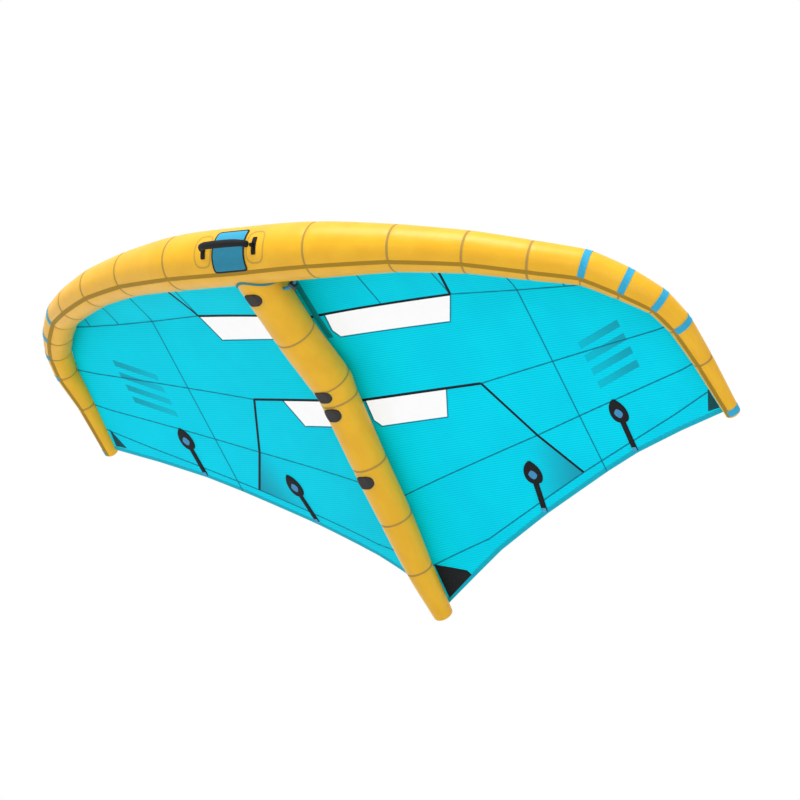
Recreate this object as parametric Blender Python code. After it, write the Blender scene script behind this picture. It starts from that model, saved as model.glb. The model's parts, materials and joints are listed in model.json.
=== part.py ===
"""Wingfoil wing: inflatable leading edge and strut, ripstop canopy, windows, battens, handle and valve.

The wing is drawn level, nose towards -Y, port side towards +X, and canopy up. One empty then pitches
it nose-up, as a rider holds it, about the hand gap of the front handle, which is the origin.
"""
from math import asin, cos, pi, radians, sin, sqrt, tau

import bmesh
import bpy
import numpy as np
from mathutils import Matrix, Vector
from mathutils.bvhtree import BVHTree
from mathutils.geometry import delaunay_2d_cdt

MM = 0.001

# Attitude of the finished part
wing_pitch = radians(50.8)

# Leading edge: centre line of the tube, from its middle to the port tip
half_span = 1.650
leading_edge_sweep = 1.097
leading_edge_rise = 0.328
leading_edge_diameter = 0.229
# Ring seams as shares of half span, sweep, rise and diameter
leading_edge_shares = (
    (0.000, 0.012, 0.035, 1.000),
    (0.217, 0.020, 0.060, 0.965),
    (0.424, 0.069, 0.201, 0.812),
    (0.595, 0.139, 0.353, 0.726),
    (0.732, 0.224, 0.513, 0.673),
    (0.838, 0.306, 0.695, 0.611),
    (0.910, 0.402, 0.787, 0.567),
    (0.963, 0.499, 0.868, 0.481),
    (0.986, 0.605, 0.914, 0.433),
    (0.991, 0.770, 0.976, 0.356),
    (1.000, 1.000, 1.000, 0.264),
)
seat_angle_limit = radians(62)
tip_dome_share = 0.45

# Strut: centre line of the tube, from the leading edge to the tail
strut_length = 1.800
strut_arch = 0.101
strut_diameter = 0.163
strut_shares = (
    (0.041, 0.050, 1.120),
    (0.224, 0.451, 1.060),
    (0.369, 0.951, 1.060),
    (0.419, 0.947, 0.970),
    (0.588, 0.773, 0.900),
    (0.737, 0.670, 0.831),
    (0.872, 0.528, 0.689),
    (1.000, 0.527, 0.500),
)
# Sewn panels in each node of the leading edge's two middle groups, and of the strut's first two nodes
leading_edge_group_panels = 3
strut_front_panels = 2
strut_middle_panels = 3

# Cloth, walls and the room between pieces
casing_wall = 1.0 * MM
seam_pinch = 1.8 * MM
seam_half_width = 12 * MM
bladder_wall = 0.5 * MM
bladder_room = 0.6 * MM
cloth = 0.8 * MM
clearance = 0.3 * MM
panel_gap = 0.4 * MM
strut_seat_room = 0.6 * MM
under_cloth_room = 0.9 * MM
cut_overrun = 20 * MM
ring_spacing = 0.180
tangent_spacing = 5 * MM
weld_distance = 0.001 * MM
merge_distance = 0.01 * MM

# Canopy: height over the leading edge's centre line, and its seams
canopy_centre_height = 0.163
canopy_rise = 0.166
canopy_rise_curve_share = 0.343
canopy_fillet = 0.242
front_seam_shares = ((0.000, 0.219), (0.410, 0.227), (0.587, 0.242), (0.733, 0.251), (0.830, 0.2525))
middle_seam_shares = ((0.000, 0.4575), (0.3655, 0.459), (0.587, 0.429), (0.740, 0.408), (0.900, 0.386))
rear_seam_shares = ((0.000, 0.711), (0.448, 0.608), (0.587, 0.573), (0.760, 0.530), (0.920, 0.490))
band_seam_shares = ((0.000, 0.892), (0.180, 0.853), (0.523, 0.7167), (0.587, 0.693), (0.840, 0.600))
trailing_edge_shares = ((0.000, 0.992), (0.197, 0.886), (0.368, 0.810), (0.587, 0.722), (0.693, 0.683),
                        (0.840, 0.640))
# Each seam with the place where it meets the leading edge
canopy_seams = ((front_seam_shares, 0.2525), (middle_seam_shares, 0.375), (rear_seam_shares, 0.475),
                (band_seam_shares, 0.545), (trailing_edge_shares, 0.603))
long_seam_share = 0.587
corner_share = 0.3655
rear_corner_share = 0.448
band_corner_share = 0.523
# Windows: corners as shares of half span and strut length
front_window_inner_shares = ((0.050, 0.219), (0.043, 0.267), (0.054, 0.288))
front_window_outer_shares = ((0.406, 0.227), (0.367, 0.295))
rear_window_inner_shares = ((0.025, 0.4575), (0.024, 0.511), (0.040, 0.529))
rear_window_outer_shares = ((0.265, 0.4575), (0.230, 0.531))
panel_spacing = 0.100
lattice_room_share = 0.4

# Reinforcement patches under the canopy
patch_cloth = 0.8 * MM
tail_patch_shares = ((0.016, 0.888), (0.086, 0.921), (0.092, 0.934), (0.016, 0.978))
tip_patch_shares = ((0.948, 0.560), (0.956, 0.594), (0.936, 0.597))

# Batten pockets and battens
batten_length = 0.242
batten_width = 14 * MM
batten_thickness = 1.4 * MM
pocket_cloth = 0.9 * MM
pocket_margin = 4 * MM
pad_length = 0.100
pad_width = 0.062
pad_full_share = 0.62
batten_start_share = 0.3
pocket_slot_share = 0.8
pad_steps = 8
pocket_steps = 4
inner_batten_shares = (0.390, 0.366)
outer_batten_shares = (0.698, 0.692)

# Front handle
handle_length = 0.265
handle_height = 0.054
handle_angle = radians(-140)
grip_radius = 15.5 * MM
knuckle_radius = 9 * MM
anchor_width = 22 * MM
anchor_length = 72 * MM
anchor_thickness = 3 * MM
pad_plate_width = 0.165
pad_plate_top_angle = radians(-180)
pad_plate_bottom_angle = radians(-93)
pad_plate_thickness = 4 * MM
grip_arch_power = 3.2
grip_points = 19
grip_sides = 12
foot_angles = (radians(12), radians(35), radians(62))
stub_radius = 4 * MM
eye_radius = 8 * MM
eye_width = 12 * MM
anchor_room = 0.8 * MM
angle_room = radians(2)

# Handle mount pads under the strut
mount_pad_width = 78 * MM
mount_pad_flat_width = 44 * MM
mount_pad_height = 6 * MM
mount_pad_drop = 11 * MM
mount_pad_slot_length = 16 * MM
mount_pad_slot_width = 7 * MM
mount_pad_slot_spacing = 20 * MM
mount_pad_rim = 15.5 * MM
mount_pad_power = 2.6
mount_pad_edge = 1.5 * MM
mount_pad_room = 0.5 * MM
mount_pad_shares = (0.086, 0.391, 0.438, 0.616)

# Inflation valve, on the leading edge's rear face
valve_distance = 0.235
valve_angle = radians(18)
valve_collar_radius = 26 * MM
valve_collar_height = 4 * MM
valve_collar_depth = 7 * MM
valve_neck_radius = 17 * MM
valve_neck_height = 9 * MM
valve_neck_depth = 15 * MM
valve_bore_radius = 13 * MM
insert_flange_radius = 16 * MM
insert_flange_height = 2.5 * MM
insert_depth = 16 * MM
insert_bore_radius = 7 * MM
insert_wing_width = 5 * MM
insert_wing_height = 4 * MM
insert_wing_share = 0.8
insert_wing_power = 4
insert_stem_room = 0.45 * MM
cap_wall = 1.6 * MM
cap_skirt = 7 * MM
cap_hinge_radius = 2.2 * MM
cap_lug_width = 9 * MM
cap_centre_radius = 0.1 * MM
cap_pin_room = 0.36 * MM

# Hose from the leading edge to the strut, and its pinch clamp
hose_radius = 7 * MM
hose_leave_distance = 0.160
hose_leave_angle = radians(8)
hose_arrive_share = 0.100
hose_bow = 0.035
hose_points = 12
clamp_length = 12 * MM
clamp_width = 30 * MM
clamp_height = 26 * MM
clamp_power = 5
clamp_window_room = 0.3 * MM
clamp_lever_length = 34 * MM
clamp_lever_thickness = 4 * MM
clamp_pin_radius = 2 * MM
clamp_pin_share = 0.9
clamp_ear_share = 0.8

casing_sides = 18
bladder_sides = 9
round_sides = 24
bar_sides = 12
block_sides = 24
pad_sides = 28

YELLOW = (0.90, 0.60, 0.04, 1.0)
CYAN = (0.02, 0.70, 0.86, 1.0)
TEAL = (0.02, 0.40, 0.52, 1.0)
CLEAR = (0.92, 0.93, 0.95, 1.0)
BLACK = (0.015, 0.015, 0.017, 1.0)
CHARCOAL = (0.045, 0.042, 0.048, 1.0)
BLADDER = (0.75, 0.80, 0.82, 1.0)
GREY = (0.35, 0.36, 0.38, 1.0)


def clear_scene():
    for item in list(bpy.data.objects):
        bpy.data.objects.remove(item, do_unlink=True)


def material(name, colour, roughness, metallic=0.0):
    found = bpy.data.materials.get(name)
    if found:
        return found
    made = bpy.data.materials.new(name)
    made.use_nodes = True
    shader = made.node_tree.nodes["Principled BSDF"]
    shader.inputs["Base Color"].default_value = colour
    shader.inputs["Roughness"].default_value = roughness
    shader.inputs["Metallic"].default_value = metallic
    made.diffuse_color = colour
    return made


def place(item, parent):
    bpy.context.scene.collection.objects.link(item)
    item.parent = parent
    return item


def finish_mesh(name, bm, finish, parent, smooth_angle=radians(32)):
    bmesh.ops.recalc_face_normals(bm, faces=bm.faces[:])
    mesh = bpy.data.meshes.new(name)
    bm.to_mesh(mesh)
    bm.free()
    mesh.shade_smooth()
    mesh.set_sharp_from_angle(angle=smooth_angle)
    mesh.materials.append(finish)
    return place(bpy.data.objects.new(name, mesh), parent)


def make_cutter(name, bm, parent):
    item = finish_mesh(name, bm, material("guide", GREY, 0.5), parent)
    item.hide_render = True
    item.display_type = "WIRE"
    return item


def cut(item, cutter, operation="DIFFERENCE"):
    modifier = item.modifiers.new(cutter.name, "BOOLEAN")
    modifier.operation = operation
    modifier.object = cutter
    modifier.solver = "EXACT"


def skin(bm, loops, closed=False):
    """Joins loops of equal count with quads; returns the loops of vertices."""
    made = [[bm.verts.new(point) for point in loop] for loop in loops]
    following = made[1:] + (made[:1] if closed else [])
    for first, second in zip(made, following):
        count = len(first)
        for i in range(count):
            j = (i + 1) % count
            bm.faces.new((first[i], first[j], second[j], second[i]))
    return made


def smooth_rows(rows, steps=24):
    """A Catmull-Rom curve through the rows, as dense rows and the distance along them."""
    rows = np.array(rows, dtype=float)
    ends = np.vstack([2 * rows[0] - rows[1], rows, 2 * rows[-1] - rows[-2]])
    dense = []
    for i in range(1, len(ends) - 2):
        before, start, stop, after = ends[i - 1], ends[i], ends[i + 1], ends[i + 2]
        for t in np.linspace(0, 1, steps, endpoint=False):
            dense.append(0.5 * (2 * start + (stop - before) * t
                                + (2 * before - 5 * start + 4 * stop - after) * t ** 2
                                + (3 * start - before - 3 * stop + after) * t ** 3))
    dense.append(rows[-1])
    dense = np.array(dense)
    leaps = np.linalg.norm(np.diff(dense[:, :3], axis=0), axis=1)
    distance = np.concatenate([[0], np.cumsum(leaps)])
    return dense, distance, distance[::steps]


class Tube:
    """A tapered fabric tube round a centre line; its faces are flat between full rings."""

    def __init__(self, rows, mirrored, vertex_angle):
        if mirrored:
            flip = np.array([-1, 1, 1, 1])
            rows = [np.array(row) * flip for row in rows[:0:-1]] + list(rows)
        self.dense, self.distance, knots = smooth_rows(rows)
        self.shift = self.distance[-1] / 2 if mirrored else 0.0
        self.seams = list(knots - self.shift)
        if mirrored:
            del self.seams[len(self.seams) // 2]
        self.vertex_angle = vertex_angle
        self.full = []
        for start, stop in zip(self.seams, self.seams[1:]):
            self.full += [start + seam_half_width, *self.between(start, stop), stop - seam_half_width]

    def between(self, start, stop):
        """Rings inside one sewn panel, at even steps."""
        count = max(1, round((stop - start) / ring_spacing) - 1)
        return [start + (stop - start) * (k + 1) / (count + 1) for k in range(count)]

    def inner_stations(self, first, last):
        """Seams and rings between two places."""
        stations = list(self.seams)
        for start, stop in zip(self.seams, self.seams[1:]):
            stations += self.between(start, stop)
        return [first] + sorted(s for s in stations if first + seam_half_width < s < last) + [last]

    def row(self, s):
        return np.array([np.interp(s + self.shift, self.distance, self.dense[:, k]) for k in range(4)])

    def frame(self, s):
        ahead, behind = self.row(s + tangent_spacing), self.row(s - tangent_spacing)
        tangent = Vector(ahead[:3] - behind[:3]).normalized()
        side = Vector((0, 0, 1)).cross(tangent).normalized()
        return tangent, side, tangent.cross(side)

    def ring(self, s, lift=0.0, sides=casing_sides, forward=0.0, scale=1.0):
        """The vertices of one ring; lift adds to the radius."""
        x, y, z, radius = self.row(s)
        tangent, side, up = self.frame(s)
        centre = Vector((x, y, z)) + tangent * forward
        reach = radius * scale + lift
        start = self.vertex_angle(s)
        angles = [start + tau * k / sides for k in range(sides)]
        return [centre + (side * cos(a) + up * sin(a)) * reach for a in angles]

    def flat_radius(self, s, angle, sides=casing_sides):
        """Distance from the centre line to the flat-sided surface, as a share of the radius."""
        step = tau / sides
        off = (angle - self.vertex_angle(s)) % step - step / 2
        return cos(step / 2) / cos(off)

    def surface(self, s, angle, lift=0.0):
        """A point on the flat-sided surface between full rings, raised by lift."""
        after = int(np.clip(np.searchsorted(self.full, s), 1, len(self.full) - 1))
        ends = self.full[after - 1], self.full[after]
        points = []
        for end in ends:
            x, y, z, radius = self.row(end)
            _, side, up = self.frame(end)
            reach = radius * self.flat_radius(end, angle) + lift
            points.append(Vector((x, y, z)) + (side * cos(angle) + up * sin(angle)) * reach)
        return points[0].lerp(points[1], (s - ends[0]) / (ends[1] - ends[0]))

    def vertex_point(self, s, lift):
        """A point on the surface's first edge line, raised by lift."""
        after = int(np.clip(np.searchsorted(self.full, s), 1, len(self.full) - 1))
        ends = self.full[after - 1], self.full[after]
        points = [self.ring(end, lift)[0] for end in ends]
        return points[0].lerp(points[1], (s - ends[0]) / (ends[1] - ends[0]))

    def direction(self, s, angle):
        _, side, up = self.frame(s)
        return side * cos(angle) + up * sin(angle)


def leading_edge_rows():
    radius = leading_edge_diameter / 2
    return [(half_span * a, leading_edge_sweep * b, leading_edge_rise * c, radius * d)
            for a, b, c, d in leading_edge_shares]


def strut_rows():
    radius = strut_diameter / 2
    return [(0.0, strut_length * a, strut_arch * b, radius * c) for a, b, c in strut_shares]


def span_height(x):
    share = abs(x) / half_span
    return canopy_centre_height + canopy_rise * ((1 + canopy_rise_curve_share) * share
                                                 - canopy_rise_curve_share * share ** 2)


def seat_vertex_angle(s):
    """The canopy is sewn where the tube passes the canopy's own height, at most 62 degrees up."""
    x, y, z, radius = leading_edge.row(s)
    rise = span_height(abs(x) - radius / 2) - z
    return min(seat_angle_limit, asin(max(-1.0, min(1.0, rise / radius))))


leading_edge = None
strut = None


def make_tubes():
    global leading_edge, strut
    leading_edge = Tube(leading_edge_rows(), True, seat_vertex_angle)
    strut = Tube(strut_rows(), False, lambda s: pi / 2)


def strut_top(y):
    """Height of the strut's top edge line at a place along the wing."""
    tops = [strut.ring(s)[0] for s in strut.full]
    return float(np.interp(y, [p.y for p in tops], [p.z for p in tops]))


def canopy_height(x, y):
    top = strut_top(y) + strut_seat_room + cloth / 2
    return span_height(x) - (span_height(0) - top) * np.exp(-abs(x) / canopy_fillet)


def seat(s):
    """Where the canopy's front or tip edge meets the leading edge tube."""
    return np.array(leading_edge.vertex_point(s, clearance + cloth / 2))


def seat_table():
    stations = [s for s in leading_edge.full if s > 0]
    stations = [0.0] + stations
    return stations, np.array([seat(s) for s in stations])


def seat_at_y(y):
    stations, points = seat_table()
    return float(np.interp(y, points[:, 1], stations))


def seat_at_x(x):
    stations, points = seat_table()
    outer = int(points[:, 0].argmax())
    return float(np.interp(x, points[:outer, 0], stations[:outer]))


class Curve:
    """A run of points with its knots as shares of its length."""

    def __init__(self, points):
        self.points = np.array(points, dtype=float)
        leaps = np.linalg.norm(np.diff(self.points, axis=0), axis=1)
        self.length = float(leaps.sum())
        self.knots = np.concatenate([[0], np.cumsum(leaps)]) / self.length

    def at(self, share):
        return np.array([np.interp(share, self.knots, self.points[:, k])
                         for k in range(self.points.shape[1])])


def on_canopy(x, y):
    return (x, y, float(canopy_height(x, y)))


def plan(shares):
    return [(half_span * a, strut_length * b) for a, b in shares]


def seam_points(shares, end_share, from_x=0.0, to_x=None):
    """Points of a seam between two distances from the strut; the last may be on the tube."""
    line = plan(shares)
    xs = [p[0] for p in line]
    ys = [p[1] for p in line]
    inside = [p for p in line if from_x < p[0] < (to_x or half_span)]
    points = [on_canopy(x, y) for x, y in [(from_x, float(np.interp(from_x, xs, ys)))] + inside]
    if to_x is None:
        end = seat(seat_at_y(strut_length * end_share))
        points = [p for p in points if p[0] < end[0] - seam_half_width]
        points.append(tuple(end))
    else:
        points.append(on_canopy(to_x, float(np.interp(to_x, xs, ys))))
    return points


def lifted(points):
    return [on_canopy(x, y) for x, y in points]


def straight(first, last):
    return Curve([first, last])


def seat_curve(start_s, stop_s):
    inner = [s for s in leading_edge.full if start_s < s < stop_s]
    return Curve([seat(s) for s in [start_s] + inner + [stop_s]])


def strut_curve(start_y, stop_y):
    ys = [strut.ring(s)[0].y for s in strut.full]
    inner = [y for y in ys if start_y < y < stop_y]
    return Curve([on_canopy(0.0, y) for y in [start_y] + inner + [stop_y]])


def rise_curve(first, last):
    """Leaves the tube steeply and meets the canopy level."""
    first = np.array(first)
    last = np.array(last)
    points = []
    for v in np.linspace(0, 1, 5):
        point = first * (1 - v) + last * v
        point[2] = first[2] + (last[2] - first[2]) * (2 * v - v * v)
        points.append(point)
    return Curve(points)


def merged(knots, length):
    """Knots plus even steps between them, without slivers."""
    kept = [0.0]
    for knot in sorted(set(np.round(knots, 5))):
        if knot - kept[-1] > seam_half_width / length:
            kept.append(float(knot))
    if 1 - kept[-1] < seam_half_width / length:
        kept[-1] = 1.0
    elif kept[-1] != 1.0:
        kept.append(1.0)
    shares = []
    for start, stop in zip(kept, kept[1:]):
        count = max(1, round((stop - start) * length / panel_spacing))
        shares += [start + (stop - start) * k / count for k in range(count)]
    return shares + [1.0]


def cloth_panel(name, front, rear, inner, outer, finish, parent, mirror=False):
    """A sheet bounded by four curves, cut back by half the gap between panels."""
    across = merged(list(front.knots) + list(rear.knots), max(front.length, rear.length))
    along = merged(list(inner.knots) + list(outer.knots), max(inner.length, outer.length))
    trim_across = panel_gap / 2 / min(front.length, rear.length)
    trim_along = panel_gap / 2 / min(inner.length, outer.length)
    across[0], across[-1] = trim_across, 1 - trim_across
    along[0], along[-1] = trim_along, 1 - trim_along
    corner = [[front.at(0), front.at(1)], [rear.at(0), rear.at(1)]]
    grid = []
    for v in along:
        line = []
        for u in across:
            point = ((1 - v) * front.at(u) + v * rear.at(u) + (1 - u) * inner.at(v) + u * outer.at(v)
                     - (1 - v) * ((1 - u) * corner[0][0] + u * corner[0][1])
                     - v * ((1 - u) * corner[1][0] + u * corner[1][1]))
            line.append(point)
        grid.append(line)
    return sheet(name, np.array(grid), cloth, finish, parent, mirror)


def sheet(name, grid, thickness, finish, parent, mirror=False):
    """A closed thin body round a grid of points."""
    if mirror:
        grid = grid * np.array([-1, 1, 1])
    down = np.gradient(grid, axis=0)
    right = np.gradient(grid, axis=1)
    normal = np.cross(right, down)
    normal /= np.linalg.norm(normal, axis=2)[:, :, None]
    bm = bmesh.new()
    rows, columns = grid.shape[:2]
    faces = []
    for offset in (thickness / 2, -thickness / 2):
        layer = [[bm.verts.new(grid[i, j] + normal[i, j] * offset) for j in range(columns)]
                 for i in range(rows)]
        faces.append(layer)
        for i in range(rows - 1):
            for j in range(columns - 1):
                bm.faces.new((layer[i][j], layer[i][j + 1], layer[i + 1][j + 1], layer[i + 1][j]))
    rim = ([(0, j) for j in range(columns)] + [(i, columns - 1) for i in range(1, rows)]
           + [(rows - 1, j) for j in range(columns - 2, -1, -1)] + [(i, 0) for i in range(rows - 2, 0, -1)])
    for (i, j), (k, m) in zip(rim, rim[1:] + rim[:1]):
        bm.faces.new((faces[0][i][j], faces[0][k][m], faces[1][k][m], faces[1][i][j]))
    return finish_mesh(name, bm, finish, parent)


def dome(tube, s, lift, sides, depth, steps=3):
    """Rings that close a tube's end."""
    _, _, _, radius = tube.row(s)
    reach = radius + lift
    loops = []
    for k in range(1, steps):
        angle = pi / 2 * k / steps
        loops.append(tube.ring(s, 0.0, sides, forward=depth * sin(angle), scale=reach * cos(angle) / radius))
    return loops


def close_with_point(bm, loop, point):
    tip = bm.verts.new(point)
    for first, second in zip(loop, loop[1:] + loop[:1]):
        bm.faces.new((first, second, tip))


def casing_node(name, tube, first, last, finish, parent, mirror=False, closed_tip=False):
    """Sewn panels between two seams as one hollow tube, pinched at every seam."""
    half = clearance / 2
    start = tube.seams[first] + half
    stop = tube.seams[last] - (0 if closed_tip else half)
    wall = seam_pinch + casing_wall
    outer = [tube.ring(start, -seam_pinch)]
    for k in range(first, last):
        left, right = tube.seams[k], tube.seams[k + 1]
        for s in (left + seam_half_width, *tube.between(left, right), right - seam_half_width):
            outer.append(tube.ring(s))
        if k + 1 < last:
            outer.append(tube.ring(right, -seam_pinch))
    outer.append(tube.ring(stop, 0.0 if closed_tip else -seam_pinch))
    inner = [tube.ring(start, -wall)]
    for k in range(first, last):
        left, right = tube.seams[k], tube.seams[k + 1]
        inner += [tube.ring(s, -wall) for s in tube.between(left, right)]
        if k + 1 < last:
            inner.append(tube.ring(right, -wall))
    inner.append(tube.ring(stop, -wall))
    bm = bmesh.new()
    if closed_tip:
        depth = tube.row(stop)[3] * tip_dome_share
        tangent = tube.frame(stop)[0]
        centre = Vector(tube.row(stop)[:3])
        outer += dome(tube, stop, 0.0, casing_sides, depth)
        inner += dome(tube, stop, -wall, casing_sides, depth - wall)
        loops = skin(bm, inner[::-1] + outer)
        close_with_point(bm, loops[0], centre + tangent * (depth - wall))
        close_with_point(bm, loops[-1], centre + tangent * depth)
    else:
        skin(bm, outer + inner[::-1], closed=True)
    if mirror:
        bmesh.ops.scale(bm, vec=(-1, 1, 1), verts=bm.verts[:])
    return finish_mesh(name, bm, finish, parent)


def bladder_skins(tube, stations):
    """Outer and inner skin of an airtight tube that fills its casing, closed at both ends."""
    inside = casing_wall + seam_pinch
    shrink = cos(pi / casing_sides)

    def loop(s, wall):
        radius = tube.row(s)[3]
        reach = (radius - inside) * shrink - bladder_room - wall
        return tube.ring(s, 0.0, bladder_sides, scale=reach / radius)

    outer = [loop(s, 0.0) for s in stations]
    inner = [loop(s, bladder_wall) for s in stations]
    bm = bmesh.new()
    for loops, wall in ((outer, 0.0), (inner, bladder_wall)):
        made = skin(bm, loops)
        for s, ring, sign in ((stations[0], made[0], -1), (stations[-1], made[-1], 1)):
            radius = tube.row(s)[3]
            depth = radius * tip_dome_share / 2 - wall
            close_with_point(bm, ring, Vector(tube.row(s)[:3]) + tube.frame(s)[0] * depth * sign)
    return bm


def tube_cutter(name, tube, stations, lift, parent):
    bm = bmesh.new()
    loops = skin(bm, [tube.ring(s, lift / cos(pi / casing_sides)) for s in stations])
    bm.faces.new(loops[0])
    bm.faces.new(loops[-1])
    return make_cutter(name, bm, parent)


def revolve(bm, profile, sides=round_sides):
    """Turns a closed profile of (radius, height) points round Z."""
    verts = [bm.verts.new((radius, 0, height)) for radius, height in profile]
    edges = [bm.edges.new(pair) for pair in zip(verts, verts[1:] + verts[:1])]
    bmesh.ops.spin(bm, geom=verts + edges, cent=(0, 0, 0), axis=(0, 0, 1), angle=tau,
                   steps=sides, use_merge=True)
    bmesh.ops.remove_doubles(bm, verts=bm.verts[:], dist=merge_distance)
    return bm


def axis_matrix(origin, z_axis, x_hint):
    z_axis = Vector(z_axis).normalized()
    x_axis = (Vector(x_hint) - z_axis * z_axis.dot(Vector(x_hint))).normalized()
    y_axis = z_axis.cross(x_axis)
    matrix = Matrix((x_axis, y_axis, z_axis)).transposed().to_4x4()
    matrix.translation = origin
    return matrix


def make_empty(name, matrix, parent):
    item = place(bpy.data.objects.new(name, None), parent)
    item.matrix_local = matrix
    return item


def superellipse(length, width, power, count):
    points = []
    for k in range(count):
        a = tau * k / count
        c, s = cos(a), sin(a)
        points.append((length / 2 * abs(c) ** (2 / power) * (1 if c >= 0 else -1),
                       width / 2 * abs(s) ** (2 / power) * (1 if s >= 0 else -1)))
    return points


def prism(bm, outline, bottom, top):
    loops = skin(bm, [[(x, y, bottom) for x, y in outline], [(x, y, top) for x, y in outline]])
    bm.faces.new(loops[0])
    bm.faces.new(loops[1])
    return loops


def slot_outline(length, width, count=6):
    """A slot along X with round ends."""
    radius = width / 2
    reach = length / 2 - radius
    points = []
    for k in range(count + 1):
        a = -pi / 2 + pi * k / count
        points.append((reach + radius * cos(a), radius * sin(a)))
    for k in range(count + 1):
        a = pi / 2 + pi * k / count
        points.append((-reach + radius * cos(a), radius * sin(a)))
    return points


def make_casings(parent):
    dacron = material("casing_yellow", YELLOW, 0.42)
    middle = len(leading_edge.seams) // 2 - 1
    made = {"centre": casing_node("leading_edge_centre", leading_edge, middle, middle + 1, dacron, parent)}
    inner, outer = (middle + 1 + leading_edge_group_panels * k for k in (0, 1))
    tip = outer + leading_edge_group_panels
    groups = (("inner", inner, outer, False), ("outer", outer, tip, False),
              ("tip", tip, len(leading_edge.seams) - 1, True))
    for label, first, last, closed in groups:
        for side, mirror in (("port", False), ("starboard", True)):
            name = f"leading_edge_{label}_{side}"
            made[f"{label}_{side}"] = casing_node(name, leading_edge, first, last, dacron, parent, mirror, closed)
    seams = len(strut_shares) - 1
    middle, tail = strut_front_panels, strut_front_panels + strut_middle_panels
    for label, first, last in (("front", 0, middle), ("middle", middle, tail), ("tail", tail, seams)):
        made[f"strut_{label}"] = casing_node(f"strut_{label}", strut, first, last, dacron, parent,
                                             closed_tip=last == seams)
    reach = strut_diameter * 2
    near = [s for s in leading_edge.full if abs(s) < reach] + [-reach, reach]
    cutter = tube_cutter("leading_edge_clearance", leading_edge, sorted(near), clearance, parent)
    cut(made["strut_front"], cutter)
    return made


def make_bladders(parent):
    film = material("bladder_film", BLADDER, 0.35)
    end = leading_edge.seams[-1] - seam_half_width
    main = bladder_skins(leading_edge, leading_edge.inner_stations(-end, end))
    stations = strut.inner_stations(strut.seams[0] + strut_diameter / 2, strut.seams[-1] - seam_half_width)
    small = bladder_skins(strut, stations)
    return (finish_bladder("leading_edge_bladder", main, film, parent),
            finish_bladder("strut_bladder", small, film, parent))


def finish_bladder(name, bm, finish, parent):
    """Both skins face outwards from the film: the inner one is turned round."""
    bmesh.ops.recalc_face_normals(bm, faces=bm.faces[:])
    bm.verts.index_update()
    half = len(bm.verts) // 2
    inner = [face for face in bm.faces if face.verts[0].index >= half]
    bmesh.ops.reverse_faces(bm, faces=inner)
    mesh = bpy.data.meshes.new(name)
    bm.to_mesh(mesh)
    bm.free()
    mesh.shade_smooth()
    mesh.materials.append(finish)
    return place(bpy.data.objects.new(name, mesh), parent)


def dense_line(points):
    """Adds canopy points between the given ones, so that no step is longer than a panel step."""
    made = []
    for first, last in zip(points, points[1:]):
        count = max(1, round(float(np.hypot(last[0] - first[0], last[1] - first[1])) / panel_spacing))
        made.append(tuple(first))
        for k in range(1, count):
            x, y = (first[i] + (last[i] - first[i]) * k / count for i in range(2))
            made.append(on_canopy(x, y))
    return made + [tuple(points[-1])]


def round_outline(*runs):
    """Joins runs of points end to end into one closed outline."""
    outline = []
    for run in runs:
        for point in run:
            if not outline or np.hypot(point[0] - outline[-1][0], point[1] - outline[-1][1]) > panel_gap:
                outline.append(point)
    if np.hypot(outline[0][0] - outline[-1][0], outline[0][1] - outline[-1][1]) < panel_gap:
        outline.pop()
    return outline


def drawn_in(outline, distance):
    """The outline moved inwards, all round, by the same distance."""
    flat = np.array(outline)[:, :2]
    along = np.roll(flat, -1, axis=0) - flat
    along /= np.linalg.norm(along, axis=1)[:, None]
    area = float(np.sum(flat[:, 0] * np.roll(flat[:, 1], -1) - np.roll(flat[:, 0], -1) * flat[:, 1]))
    side = np.stack([-along[:, 1], along[:, 0]], axis=1) * (1 if area > 0 else -1)
    before = np.roll(side, 1, axis=0)
    corner = (side + before) / (1 + np.sum(side * before, axis=1))[:, None]
    return flat + corner * distance


def inside_points(flat):
    """Lattice points well inside an outline."""
    kept = []
    low, high = np.ceil(flat.min(axis=0) / panel_spacing), np.floor(flat.max(axis=0) / panel_spacing)
    start, stop = flat, np.roll(flat, -1, axis=0)
    run = stop - start
    for i in range(int(low[0]), int(high[0]) + 1):
        for j in range(int(low[1]), int(high[1]) + 1):
            point = np.array([i, j]) * panel_spacing
            share = np.clip(np.sum((point - start) * run, axis=1) / np.sum(run * run, axis=1), 0, 1)
            near = np.linalg.norm(start + run * share[:, None] - point, axis=1).min()
            level = (start[:, 1] > point[1]) != (stop[:, 1] > point[1])
            reach = start[:, 0] + run[:, 0] * (point[1] - start[:, 1]) / np.where(level, run[:, 1], 1)
            if near > panel_spacing * lattice_room_share and np.sum(level & (reach > point[0])) % 2:
                kept.append(point)
    return kept


def inner_faces(faces, rim):
    """Leaves out the faces that can be reached from outside without crossing the rim."""
    walls = {frozenset(pair) for pair in zip(rim, rim[1:] + rim[:1])}
    sides = {}
    for k, face in enumerate(faces):
        for pair in zip(face, face[1:] + face[:1]):
            if frozenset(pair) not in walls:
                sides.setdefault(frozenset(pair), []).append(k)
    waiting = [owners[0] for owners in sides.values() if len(owners) == 1]
    outer = set(waiting)
    while waiting:
        k = waiting.pop()
        for owners in sides.values():
            if k in owners:
                waiting += [other for other in owners if other not in outer]
                outer.update(owners)
    return [face for k, face in enumerate(faces) if k not in outer]


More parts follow.
